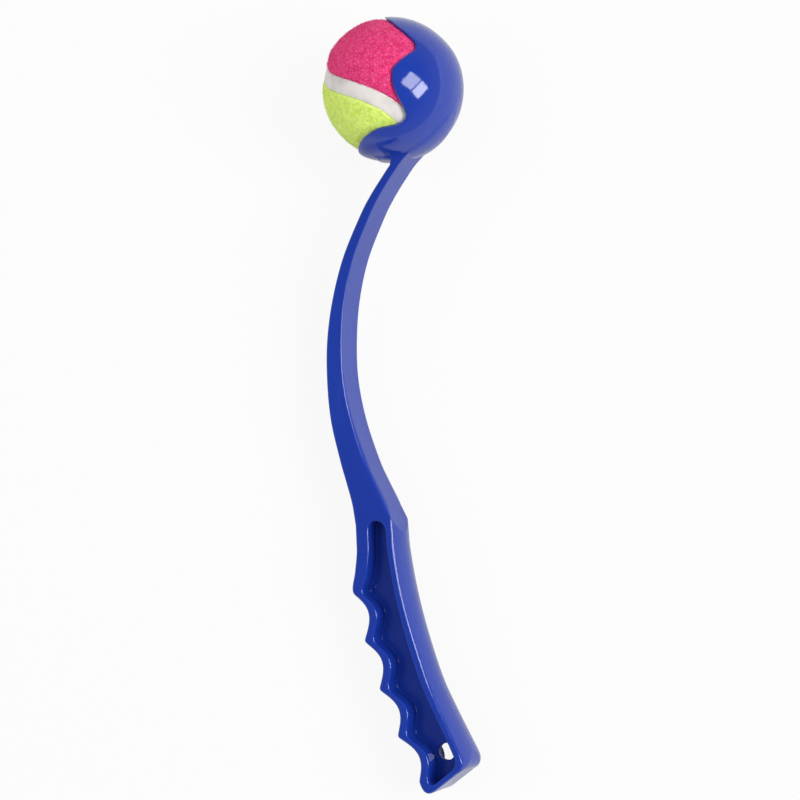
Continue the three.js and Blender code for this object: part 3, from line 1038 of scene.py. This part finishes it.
@dataclass
class Seam:
    """The line that winds round the ball between its two felt panels, in millimetres."""

    seat: BallSeat = field(default_factory=BallSeat)
    width: float = 7.8
    recess: float = 0.5
    crown: float = 0.3
    edge_drop: float = 0.25
    edge_crispness: int = 8
    ripple: float = 0.05
    ripple_scale: float = 10.0
    curve_share: float = 0.3
    turn_axis: Triple = (0.327, 0.9282, -0.1775)
    turn: float = math.radians(66.4)
    nudge: float = 0.01
    columns: int = 420
    top_steps: int = 12

    def ball_turn(self) -> Quaternion:
        """Returns how the ball has come to lie in the cup."""
        return Quaternion(Vector(self.turn_axis).normalized(), self.turn)

    def direction(self, at: float) -> Vector:
        """Finds a point of the seam.

        Args:
            at: The angle along the seam.

        Returns:
            The direction from the ball's centre.
        """
        wide, narrow = 1 - self.curve_share, self.curve_share
        return Vector((
            wide * math.cos(at) + narrow * math.cos(3 * at),
            wide * math.sin(at) - narrow * math.sin(3 * at),
            2 * math.sqrt(wide * narrow) * math.sin(2 * at),
        )).normalized()

    def beside(self, at: float, distance: float) -> Vector:
        """Finds a point beside the seam.

        Args:
            at: The angle along the seam.
            distance: How far aside the point is, in millimetres over the ball.

        Returns:
            The direction from the ball's centre.
        """
        here = self.direction(at)
        ahead = self.direction(at + self.nudge) - self.direction(at - self.nudge)
        across = here.cross(ahead).normalized()
        angle = distance / self.seat.ball_radius
        return (here * math.cos(angle) + across * math.sin(angle)).normalized()

    def band(self) -> Shape:
        """Builds the smooth band that fills the seam, crowned across and closed all round.

        Returns:
            The band, turned with the ball.
        """
        half = self.width / 2 - self.seat.gap / 2
        top = self.seat.ball_radius - self.recess
        low = self.seat.core + self.seat.gap
        spin = self.ball_turn()
        profile = []
        for i in range(self.top_steps + 1):
            aside = half * math.cos(math.pi * i / self.top_steps)
            crown = self.crown * (1 - (aside / half) ** 2)
            drop = self.edge_drop * abs(aside / half) ** self.edge_crispness
            profile.append((aside, top + crown - drop))
        profile += [(-half, low), (half, low), profile[0]]

        def place(around: float, along: float) -> Vector:
            """Gives a point of the band.

            Args:
                around: The share of the way round the ball.
                along: The share of the way round the band's own outline.

            Returns:
                The point.
            """
            beside, radius = profile[round(along * (len(profile) - 1))]
            turn, scale = 2 * math.pi * around, self.ripple_scale
            if radius > low:
                spot = Vector((scale * math.cos(turn), scale * math.sin(turn), beside))
                radius += self.ripple * noise.noise(spot)
            return spin @ (self.beside(turn, beside) * radius)

        return Workbench.sheet(self.columns, len(profile) - 1, place)


@dataclass
class FeltPanel:
    """One waisted felt panel of the ball, with its nap, in millimetres."""

    name: str
    side: int
    bulge: float
    seam: Seam = field(default_factory=Seam)
    pose: LyingPose = field(default_factory=LyingPose)
    rows: int = 180
    columns: int = 64
    rim_fade: float = math.radians(3.5)
    edge_roll: float = 0.9
    edge_drop: float = 0.7
    swell_reach: float = 9.0
    lumps: tuple[Pair, ...] = ((0.16, 9), (0.13, 26), (0.1, 60))
    # Nap
    fibres: int = 16000
    fibre_width: float = 0.11
    fibre_lengths: Pair = (0.9, 2.0)
    fibre_rises: Pair = (0.1, 0.55)
    rise_power: float = 1.5
    rise_near_rim_share: float = 0.3
    root_depth: float = 0.05
    curl_share: float = 0.8
    tip_fall_share: float = 0.3
    widest_share: float = 0.9
    covered: float = 0.05
    table_reach: float = 2.5
    pressed_length: float = 0.8
    covered_rise: float = 0.12
    table_rise: float = 0.02

    def __post_init__(self) -> None:
        """Prepares the cup's rim and the table, which press the felt down."""
        self.seat: BallSeat = self.seam.seat
        self.rim_at: Callable[[float], float] = self.seat.rim()
        self.table_up: Vector = Vector(self.pose.up).normalized()
        self.table_gap: float = self.pose.ball_centre[2]

    def openness(self, direction: Vector) -> float:
        """Returns 1 where the felt is bare and 0 where the cup covers it."""
        around, away = self.seat.angles(direction)
        return ease((self.rim_at(around) - away) / self.rim_fade)

    def surface(self, across: float, along: float) -> tuple[Vector, float]:
        """Finds a spot of the panel.

        Args:
            across: The share of the way across the panel.
            along: The share of the way along it.

        Returns:
            The direction from the ball's centre, and the distance from the panel's edge.
        """
        edge = self.seam.width / 2 * self.side
        start_turn = -math.pi / 4 * self.side
        mirror_turn = 3 * math.pi / 2 if self.side > 0 else math.pi / 2
        at = start_turn + math.pi * along
        start = self.seam.beside(at, edge)
        end = self.seam.beside(mirror_turn - at, edge)
        angle = start.angle(end, 0.0)
        way = start.slerp(end, across) if angle > 1e-4 else start
        from_edge = min(across, 1 - across) * angle * self.seat.ball_radius
        return self.seam.ball_turn() @ way, from_edge

    def flare(self, direction: Vector) -> float:
        """Returns how much room the cup's straight inside leaves over the ball in a direction."""
        return self.seat.inner(self.seat.angles(direction)[1]) - self.seat.cavity

    def table(self, direction: Vector) -> float:
        """Returns how far from the ball's centre the table is in a direction."""
        down = -direction.dot(self.table_up)
        return self.table_gap / down if down > 0.5 else math.inf

    def height(self, direction: Vector, from_edge: float) -> float:
        """Works out the felt's radius from its rolled edge, its bulge and its lumps.

        The table presses the felt flat where the ball rests on it.

        Args:
            direction: A direction from the ball's centre.
            from_edge: The distance from the panel's edge.

        Returns:
            The radius there.
        """
        bare = self.openness(direction)
        roll = self.edge_drop * (1 - ease(from_edge / self.edge_roll))
        lumps = sum(tall * noise.noise(direction * tight) for tall, tight in self.lumps)
        swell = self.bulge * ease(from_edge / self.swell_reach) + lumps
        swell = max(bare * swell, min(swell, self.flare(direction)))
        return min(self.seat.ball_radius - roll + swell, self.table(direction))

    def solid(self) -> Shape:
        """Builds the felt as a closed layer, with its edges rolled down to the seam.

        Returns:
            The felt, turned with the ball.
        """

        def place(across: float, along: float) -> Vector:
            """Gives the felt's outer point for shares of the way across and along the panel."""
            direction, from_edge = self.surface(across, along)
            return direction * self.height(direction, from_edge)

        shape = Workbench.sheet(self.columns, self.rows, place)
        if sum(f.normal.dot(f.calc_center_median()) for f in shape.faces) < 0:
            bmesh.ops.reverse_faces(shape, faces=shape.faces[:])
        outer = shape.faces[:]
        under = bmesh.ops.extrude_face_region(shape, geom=outer, use_keep_orig=True)["geom"]
        for vert in (part for part in under if isinstance(part, bmesh.types.BMVert)):
            vert.co = vert.co.normalized() * (self.seat.core + self.seat.gap)
        bmesh.ops.recalc_face_normals(shape, faces=shape.faces[:])
        return shape

    def nap(self, seed: int) -> bpy.types.Mesh:
        """Builds the loose fibres that stand off the felt, which no operator makes.

        Args:
            seed: Starts the scatter, so that every run gives the same fibres.

        Returns:
            A mesh of thin tapering strands.
        """
        scatter = np.random.default_rng(seed)
        widest = self.seat.ball_radius * self.widest_share
        least_rise, more_rise = self.fibre_rises
        points, faces = [], []
        while len(points) < self.fibres * 5:
            across, along = scatter.random(), scatter.random()
            direction, from_edge = self.surface(across, along)
            if scatter.random() > self.surface(0.5, along)[1] / widest:
                continue
            bare = self.openness(direction)
            root = direction * (self.height(direction, from_edge) - self.root_depth)
            lean = Vector(scatter.normal(size=3)).cross(direction).normalized()
            curl = Vector(scatter.normal(size=3)).cross(direction).normalized()
            length = scatter.uniform(*self.fibre_lengths)
            rise = least_rise + more_rise * scatter.random() ** self.rise_power
            rise *= mix(self.rise_near_rim_share, 1.0, bare)
            if bare < self.covered:
                length, rise = self.pressed_length, self.covered_rise
            if self.table(direction) < self.seat.ball_radius + self.table_reach:
                length, rise = self.pressed_length, self.table_rise
            middle = root + lean * length * 0.5 + direction * rise
            onward = (lean + curl * self.curl_share).normalized()
            tip = middle + onward * length * 0.5 - direction * rise * self.tip_fall_share
            thick = lean.cross(direction).normalized() * self.fibre_width / 2
            at = len(points)
            points += [root - thick, root + thick, middle + thick, middle - thick, tip]
            faces += [(at, at + 1, at + 2, at + 3), (at + 3, at + 2, at + 4)]
        mesh = bpy.data.meshes.new(self.name + "_nap")
        mesh.from_pydata(points, [], faces)
        return mesh


class Wire:
    """A value inside a material, with the usual signs of arithmetic."""

    def __init__(self, pen: "Pen", socket: bpy.types.NodeSocket) -> None:
        """Keeps the value's socket and the pen that draws its material."""
        self.pen = pen
        self.socket = socket

    def _maths(self, operation: str, first: object, second: object) -> "Wire":
        """Adds one Math node for two values."""
        return self.pen.node("ShaderNodeMath", {"operation": operation}, {0: first, 1: second})

    def __add__(self, other: object) -> "Wire":
        """Adds two values."""
        return self._maths("ADD", self, other)

    __radd__ = __add__

    def __sub__(self, other: object) -> "Wire":
        """Takes a value away."""
        return self._maths("SUBTRACT", self, other)

    def __rsub__(self, other: object) -> "Wire":
        """Takes this value away from another."""
        return self._maths("SUBTRACT", other, self)

    def __mul__(self, other: object) -> "Wire":
        """Multiplies two values."""
        return self._maths("MULTIPLY", self, other)

    __rmul__ = __mul__


@dataclass(frozen=True)
class Grain:
    """Even noise: patches in a metre, finer layers, and how much tighter it is along each way."""

    scale: float
    detail: float
    stretch: Triple = (1, 1, 1)


class Pen:
    """Draws the nodes of one material, or of the world."""

    def __init__(self, owner: bpy.types.Material | bpy.types.World) -> None:
        """Starts an empty tree.

        Args:
            owner: The new material, or the world.
        """
        owner.use_nodes = True
        self.owner = owner
        self.tree = owner.node_tree
        self.tree.nodes.clear()

    def node(
        self,
        kind: str,
        settings: dict[str, object],
        inputs: dict[str | int, object],
        output: int | str = 0,
    ) -> Wire:
        """Adds a node.

        Args:
            kind: The node's type.
            settings: Its own settings.
            inputs: Values or wires for its sockets, by name or number.
            output: Which output is wanted.

        Returns:
            The wire that leaves the node.
        """
        made = self.tree.nodes.new(kind)
        for key, value in settings.items():
            setattr(made, key, value)
        for key, value in inputs.items():
            socket = made.inputs[key]
            if isinstance(value, Wire):
                self.tree.links.new(value.socket, socket)
            else:
                socket.default_value = value
        return Wire(self, made.outputs[output])

    def grain(self, grain: Grain) -> Wire:
        """Adds noise from 0 to 1, placed by the piece's own metres.

        Args:
            grain: How fine and how stretched it is.

        Returns:
            The noise.
        """
        spot = self.node("ShaderNodeTexCoord", {}, {}, "Object")
        place = self.node("ShaderNodeMapping", {}, {"Vector": spot, "Scale": grain.stretch})
        inputs = {"Vector": place, "Scale": grain.scale, "Detail": grain.detail}
        return self.node("ShaderNodeTexNoise", {}, inputs)

    def between(self, limits: Pair, value: Wire) -> Wire:
        """Returns 0 below the first limit and 1 above the second, with a soft change between."""
        inputs = {"Value": value, "From Min": limits[0], "From Max": limits[1]}
        return self.node("ShaderNodeMapRange", {"interpolation_type": "SMOOTHSTEP"}, inputs)

    def blend(self, share: Wire, first: Wire | Colour, second: Wire | Colour) -> Wire:
        """Mixes two colours."""
        inputs = {0: share, 6: first, 7: second}
        return self.node("ShaderNodeMix", {"data_type": "RGBA"}, inputs, 2)

    def bump(self, height: Wire, strength: float, distance: float) -> Wire:
        """Returns a normal raised by a height."""
        inputs = {"Height": height, "Strength": strength, "Distance": distance}
        return self.node("ShaderNodeBump", {}, inputs)

    def finish(self, inputs: dict[str | int, object]) -> bpy.types.Material:
        """Adds the surface shader and returns the material."""
        self.end(self.node("ShaderNodeBsdfPrincipled", {}, inputs))
        return self.owner

    def end(self, surface: Wire, kind: str = "ShaderNodeOutputMaterial") -> None:
        """Ends the tree with its output."""
        self.tree.links.new(surface.socket, self.tree.nodes.new(kind).inputs["Surface"])


@dataclass(frozen=True)
class GlossyPlastic:
    """Bright blue moulded plastic with a fine skin, faint flow marks and light scratches."""

    name: str = "blue_plastic"
    body: Colour = colour(26, 61, 168)
    deep: Colour = colour(21, 51, 154)
    flow: Grain = Grain(38, 3, (0.4, 1, 1))
    cloud: Grain = Grain(160, 4)
    scratch: Grain = Grain(420, 5, (0.12, 1, 1))
    skin: Grain = Grain(900, 3)
    drawn: Grain = Grain(620, 2, (0.03, 1, 1))
    flow_height: float = 0.6
    cloud_rough: float = 0.05
    scuff_limits: Pair = (0.62, 0.72)
    scuff_rough: float = 0.12
    scuff_depth: float = 0.5
    drawn_height: float = 0.7
    rough: float = 0.07
    bump: float = 0.12
    bump_depth: float = 0.00012
    ior: float = 1.5
    coat: float = 0.3
    coat_rough: float = 0.03

    def material(self) -> bpy.types.Material:
        """Draws the plastic.

        Returns:
            The material.
        """
        pen = Pen(bpy.data.materials.new(self.name))
        flow, cloud, skin = pen.grain(self.flow), pen.grain(self.cloud), pen.grain(self.skin)
        scuffs = pen.between(self.scuff_limits, pen.grain(self.scratch))
        height = skin + self.flow_height * flow - self.scuff_depth * scuffs
        height += self.drawn_height * pen.grain(self.drawn)
        return pen.finish({
            "Base Color": pen.blend(flow, self.deep, self.body),
            "Roughness": self.rough + self.cloud_rough * cloud + self.scuff_rough * scuffs,
            "Normal": pen.bump(height, self.bump, self.bump_depth),
            "IOR": self.ior,
            "Coat Weight": self.coat,
            "Coat Roughness": self.coat_rough,
        })


@dataclass(frozen=True)
class BallFelt:
    """Dyed wool felt with a short nap: lighter fibre tips over a deeper ground."""

    name: str
    body: Colour
    deep: Colour
    pale: Colour
    fine: Grain = Grain(1500, 5)
    tufts: Grain = Grain(420, 4)
    patches: Grain = Grain(90, 3)
    fine_limits: Pair = (0.52, 0.72)
    tuft_limits: Pair = (0.38, 0.6)
    tuft_height: float = 1.2
    patch_share: float = 0.25
    rough: float = 0.95
    bump: float = 0.6
    bump_depth: float = 0.0004
    sheen: float = 0.25
    sheen_rough: float = 0.6
    gloss: float = 0.1

    def material(self) -> bpy.types.Material:
        """Draws the felt.

        Returns:
            The material.
        """
        pen = Pen(bpy.data.materials.new(self.name))
        fine, tufts = pen.grain(self.fine), pen.grain(self.tufts)
        worn = self.patch_share * pen.grain(self.patches)
        ground = pen.blend(pen.between(self.tuft_limits, tufts), self.deep, self.body)
        tipped = pen.blend(pen.between(self.fine_limits, fine), ground, self.pale)
        return pen.finish({
            "Base Color": pen.blend(worn, tipped, self.deep),
            "Roughness": self.rough,
            "Normal": pen.bump(fine + self.tuft_height * tufts, self.bump, self.bump_depth),
            "Sheen Weight": self.sheen,
            "Sheen Roughness": self.sheen_rough,
            "Sheen Tint": self.pale,
            "Specular IOR Level": self.gloss,
        })


@dataclass(frozen=True)
class Rubber:
    """Moulded rubber or cement, smooth or grainy."""

    name: str
    body: Colour
    stain: Colour
    rough: float
    fine: Grain
    smudge: Grain = Grain(120, 5)
    smudge_limits: Pair = (0.35, 0.8)
    smudge_rough: float = 0.1
    bump: float = 0.35
    bump_depth: float = 0.0001

    def material(self) -> bpy.types.Material:
        """Draws the rubber.

        Returns:
            The material.
        """
        pen = Pen(bpy.data.materials.new(self.name))
        smudge, fine = pen.grain(self.smudge), pen.grain(self.fine)
        stained = pen.between(self.smudge_limits, smudge)
        return pen.finish({
            "Base Color": pen.blend(stained, self.body, self.stain),
            "Roughness": self.rough + self.smudge_rough * smudge,
            "Normal": pen.bump(fine + smudge, self.bump, self.bump_depth),
        })


def dress(piece: Piece, material: bpy.types.Material) -> None:
    """Gives a piece its one material."""
    piece.data.materials.clear()
    piece.data.materials.append(material)


@dataclass
class Launcher:
    """The blue moulding: cup, shaft and handle in one piece, in millimetres and degrees."""

    pose: LyingPose = field(default_factory=LyingPose)
    stem: Stem = field(default_factory=Stem)
    cup: Cup = field(default_factory=Cup)
    finish: GlossyPlastic = field(default_factory=GlossyPlastic)
    ball_room: float = 0.4
    ball_room_cuts: int = 6
    crease: float = 32.0
    shoulder_slack: float = 0.05

    def build(self) -> Piece:
        """Builds and dresses the moulding.

        Returns:
            The finished piece, riding on the launcher's body.
        """
        piece = self.stem.solid()
        room, radius = bmesh.new(), self.cup.seat.cavity + self.ball_room
        bmesh.ops.create_icosphere(room, subdivisions=self.ball_room_cuts, radius=radius)
        Workbench.combine(piece, room, Cut.TAKE_AWAY)
        Workbench.combine(piece, self.cup.solid(), Cut.JOIN)
        self.stem.finish_edges(piece)
        corner = self.stem.place(self.stem.shoulder)

        def at_shoulder(point: Vector) -> bool:
            """Says whether an edge is the crisp one across the back of the shoulder."""
            close = (point.xy - corner).length < self.shoulder_slack
            return close and abs(point.z) < self.stem.half

        Workbench.smooth(piece, self.crease, at_shoulder)
        piece.data.transform(self.pose.matrix())
        dress(piece, self.finish.material())
        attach(piece, "launcher")
        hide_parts("launcher")
        return piece


@dataclass
class Ball:
    """The felt ball: two felt panels and the seam between them, over the rubber core."""

    pose: LyingPose = field(default_factory=LyingPose)
    seam: Seam = field(default_factory=Seam)
    pink: BallFelt = BallFelt(
        "pink_felt", colour(242, 66, 134), colour(220, 48, 112), colour(255, 140, 185)
    )
    lime: BallFelt = BallFelt(
        "lime_felt", colour(232, 252, 130), colour(214, 240, 104), colour(248, 255, 190)
    )
    white: Rubber = Rubber(
        "seam_rubber", colour(232, 227, 222), colour(205, 200, 196), 0.5, Grain(2200, 4)
    )
    core: Rubber = Rubber(
        "ball_rubber", colour(58, 56, 53), colour(40, 39, 38), 0.75, Grain(900, 4)
    )
    cement: Rubber = Rubber(
        "ball_cement", colour(181, 154, 114), colour(150, 120, 84), 0.6, Grain(1400, 4)
    )
    pink_bulge: float = 1.4
    lime_bulge: float = 0.15
    pink_seed: int = 7
    lime_seed: int = 11
    crease: float = 40.0

    def panel(self, panel: FeltPanel, finish: BallFelt, node: str, seed: int) -> Piece:
        """Builds one felt panel with its nap.

        Args:
            panel: The panel's shape.
            finish: The felt's colours.
            node: The CAD node that it stands for.
            seed: Starts the nap's scatter.

        Returns:
            The finished panel.
        """
        shape = panel.solid()
        for face in shape.faces:
            face.smooth = True
        shape.from_mesh(panel.nap(seed))
        piece = Workbench.piece(panel.name, shape)
        piece.data.transform(self.pose.matrix())
        dress(piece, finish.material())
        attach(piece, "ball")
        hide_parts(node)
        return piece

    def build(self) -> list[Piece]:
        """Builds and dresses the ball's pieces.

        Returns:
            The felt panels and the seam band.
        """
        pink = FeltPanel("ball_felt_pink", 1, self.pink_bulge, self.seam)
        lime = FeltPanel("ball_felt_lime", -1, self.lime_bulge, self.seam)
        made = [
            self.panel(pink, self.pink, "felt_panel_pink", self.pink_seed),
            self.panel(lime, self.lime, "felt_panel_lime", self.lime_seed),
        ]
        band = Workbench.piece("ball_seam", self.seam.band())
        Workbench.smooth(band, self.crease)
        band.data.transform(self.pose.matrix())
        dress(band, self.white.material())
        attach(band, "ball")
        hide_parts("ball_seam_band")
        core = self.core.material()
        dress(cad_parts["ball_half_shell_a"], core)
        dress(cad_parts["ball_half_shell_b"], core)
        dress(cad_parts["ball_cement_ring"], self.cement.material())
        return [*made, band]


@dataclass
class Studio:
    """The pale floor, the soft lamps and the camera at the photograph's angle, in metres.

    The lamps' places are from the ball: right, up and towards the camera in the picture.
    """

    pose: LyingPose = field(default_factory=LyingPose)
    # Camera
    side_turn: float = math.radians(23)
    distance: float = 1.2
    view_height: float = 0.37776
    sensor: float = 36.0
    millimetre_per_pixel: float = 0.4722
    middle_pixel: float = 400.0
    ball_pixel: Pair = (391.0, 89.0)
    # Lamps
    window_place: Triple = (0.61, 0.035, 0.79)
    window_across: Triple = (0.596, -0.664, -0.452)
    window_far: float = 1.8
    window_size: Pair = (1.22, 0.76)
    window_glow: float = 10.5
    near_pane_share: float = 0.7
    bar_place: float = 0.57
    bar: float = 0.06
    fill_place: Triple = (-1.25, 0.1, 0.8)
    fill_across: Triple = (0, 1, 0)
    fill_size: Pair = (1.6, 1.4)
    fill_glow: float = 1.0
    # Floor and room
    floor_half: float = 6.0
    floor_drop: float = 0.0004
    floor_white: float = 0.72
    floor_seen: float = 0.9
    room_glow: float = 0.5
    room_overhead: float = 0.12
    room_horizon: float = 0.42
    horizon_limits: Pair = (0.0, 0.75)

    def camera_axes(self) -> tuple[Vector, Vector, Vector]:
        """Works out how the picture lies in the room.

        Returns:
            The picture's right, its up and the way towards the camera.
        """
        turn = self.pose.turn().to_3x3()
        c, s = math.cos(self.side_turn), math.sin(self.side_turn)
        return turn @ Vector((c, 0, -s)), turn @ Vector((0, 1, 0)), turn @ Vector((s, 0, c))

    def camera(self) -> None:
        """Places the camera."""
        right, up, towards = self.camera_axes()
        scale = self.millimetre_per_pixel * self.pose.millimetre
        aside = self.middle_pixel - self.ball_pixel[0]
        above = self.ball_pixel[1] - self.middle_pixel
        aim = self.pose.centre() + (right * aside * scale + up * above * scale)
        data = bpy.data.cameras.new("camera")
        data.sensor_width = self.sensor
        data.lens = self.sensor * self.distance / self.view_height
        view = bpy.data.objects.new("camera", data)
        basis = Matrix((right, up, towards)).transposed().to_4x4()
        view.matrix_world = Matrix.Translation(aim + towards * self.distance) @ basis
        bpy.context.scene.collection.objects.link(view)
        bpy.context.scene.camera = view

    def hang(
        self,
        name: str,
        spot: Vector,
        across: Vector,
        size: Pair,
        glow: float,
        mirrored: bool = True,
    ) -> None:
        """Hangs a soft rectangular lamp that faces the ball.

        Args:
            name: The lamp's name.
            spot: Its middle.
            across: The direction of its width.
            size: Its width and height.
            glow: How bright its face is, where 1 is white.
            mirrored: Whether glossy surfaces show it.
        """
        data = bpy.data.lights.new(name, "AREA")
        data.shape = "RECTANGLE"
        data.size, data.size_y = size
        data.energy = glow * size[0] * size[1] * math.pi
        made = bpy.data.objects.new(name, data)
        made.visible_glossy = mirrored
        picture = Matrix(self.camera_axes()).transposed()
        back = (picture @ spot).normalized()
        side = picture @ across
        side = (side - back * side.dot(back)).normalized()
        basis = Matrix((side, back.cross(side), back)).transposed().to_4x4()
        made.matrix_world = Matrix.Translation(self.pose.centre() + picture @ spot) @ basis
        bpy.context.scene.collection.objects.link(made)

    def window(self) -> None:
        """Hangs the key light: one window of two panes, with a thin bar between them."""
        middle = Vector(self.window_place).normalized() * self.window_far
        across = Vector(self.window_across)
        across = (across - middle * across.dot(middle) / middle.length_squared).normalized()
        wide, high = self.window_size
        near_glow, half_bar = self.window_glow * self.near_pane_share, self.bar / 2
        for name, start, end, glow in (
            ("window_near", 0.0, self.bar_place - half_bar, near_glow),
            ("window_far", self.bar_place + half_bar, 1.0, self.window_glow),
        ):
            spot = middle + across * wide * ((start + end) / 2 - 0.5)
            self.hang(name, spot, across, (wide * (end - start), high), glow)

    def floor(self) -> None:
        """Lays the white floor, which keeps the launcher's soft shadow."""
        shape = bmesh.new()
        bmesh.ops.create_grid(shape, x_segments=2, y_segments=2, size=self.floor_half)
        bmesh.ops.translate(shape, vec=(0, 0, -self.floor_drop), verts=shape.verts[:])
        piece = Workbench.piece("floor", shape)
        pen = Pen(bpy.data.materials.new("floor_paper"))
        white = (self.floor_white, self.floor_white, self.floor_white, 1)
        paper = pen.node("ShaderNodeBsdfDiffuse", {}, {"Color": white})
        seen = pen.node("ShaderNodeLightPath", {}, {}, "Is Camera Ray")
        shine = pen.node("ShaderNodeEmission", {}, {"Color": (1, 1, 1, 1), "Strength": 1.0})
        inputs = {0: self.floor_seen * seen, 1: paper, 2: shine}
        pen.end(pen.node("ShaderNodeMixShader", {}, inputs))
        dress(piece, pen.owner)

    def world(self) -> None:
        """Fills the room with even light: white for the camera, and grey in mirrors."""
        pen = Pen(bpy.data.worlds.new("room"))
        seen = pen.node("ShaderNodeLightPath", {}, {}, "Is Camera Ray")
        mirrored = pen.node("ShaderNodeLightPath", {}, {}, "Is Glossy Ray")
        direction = pen.node("ShaderNodeTexCoord", {}, {}, "Generated")
        height = pen.node("ShaderNodeSeparateXYZ", {}, {0: direction}, "Z")
        low = 1 - pen.between(self.horizon_limits, height)
        shown = self.room_overhead + (self.room_horizon - self.room_overhead) * low
        level = self.room_glow + (1 - self.room_glow) * seen + mirrored * (shown - self.room_glow)
        glow = pen.node("ShaderNodeBackground", {}, {"Color": (1, 1, 1, 1), "Strength": level})
        pen.end(glow, "ShaderNodeOutputWorld")
        bpy.context.scene.world = pen.owner

    def build(self) -> None:
        """Sets up the floor, the world, the lamps and the camera."""
        bpy.context.scene.view_settings.view_transform = "Standard"
        self.floor()
        self.world()
        self.window()
        place, across = Vector(self.fill_place), Vector(self.fill_across)
        self.hang("fill", place, across, self.fill_size, self.fill_glow, mirrored=False)
        self.camera()


def main() -> None:
    """Builds the launcher, the ball and the studio, and notes the sizes."""
    logging.basicConfig(level=logging.INFO, format="%(name)s: %(message)s")
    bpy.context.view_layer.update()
    moulding = Launcher().build()
    LOG.info("%s has %d faces", moulding.name, len(moulding.data.polygons))
    for piece in Ball().build():
        LOG.info("%s has %d faces", piece.name, len(piece.data.polygons))
    Studio().build()
    LOG.info("studio is ready")


if __name__ == "__main__":
    main()
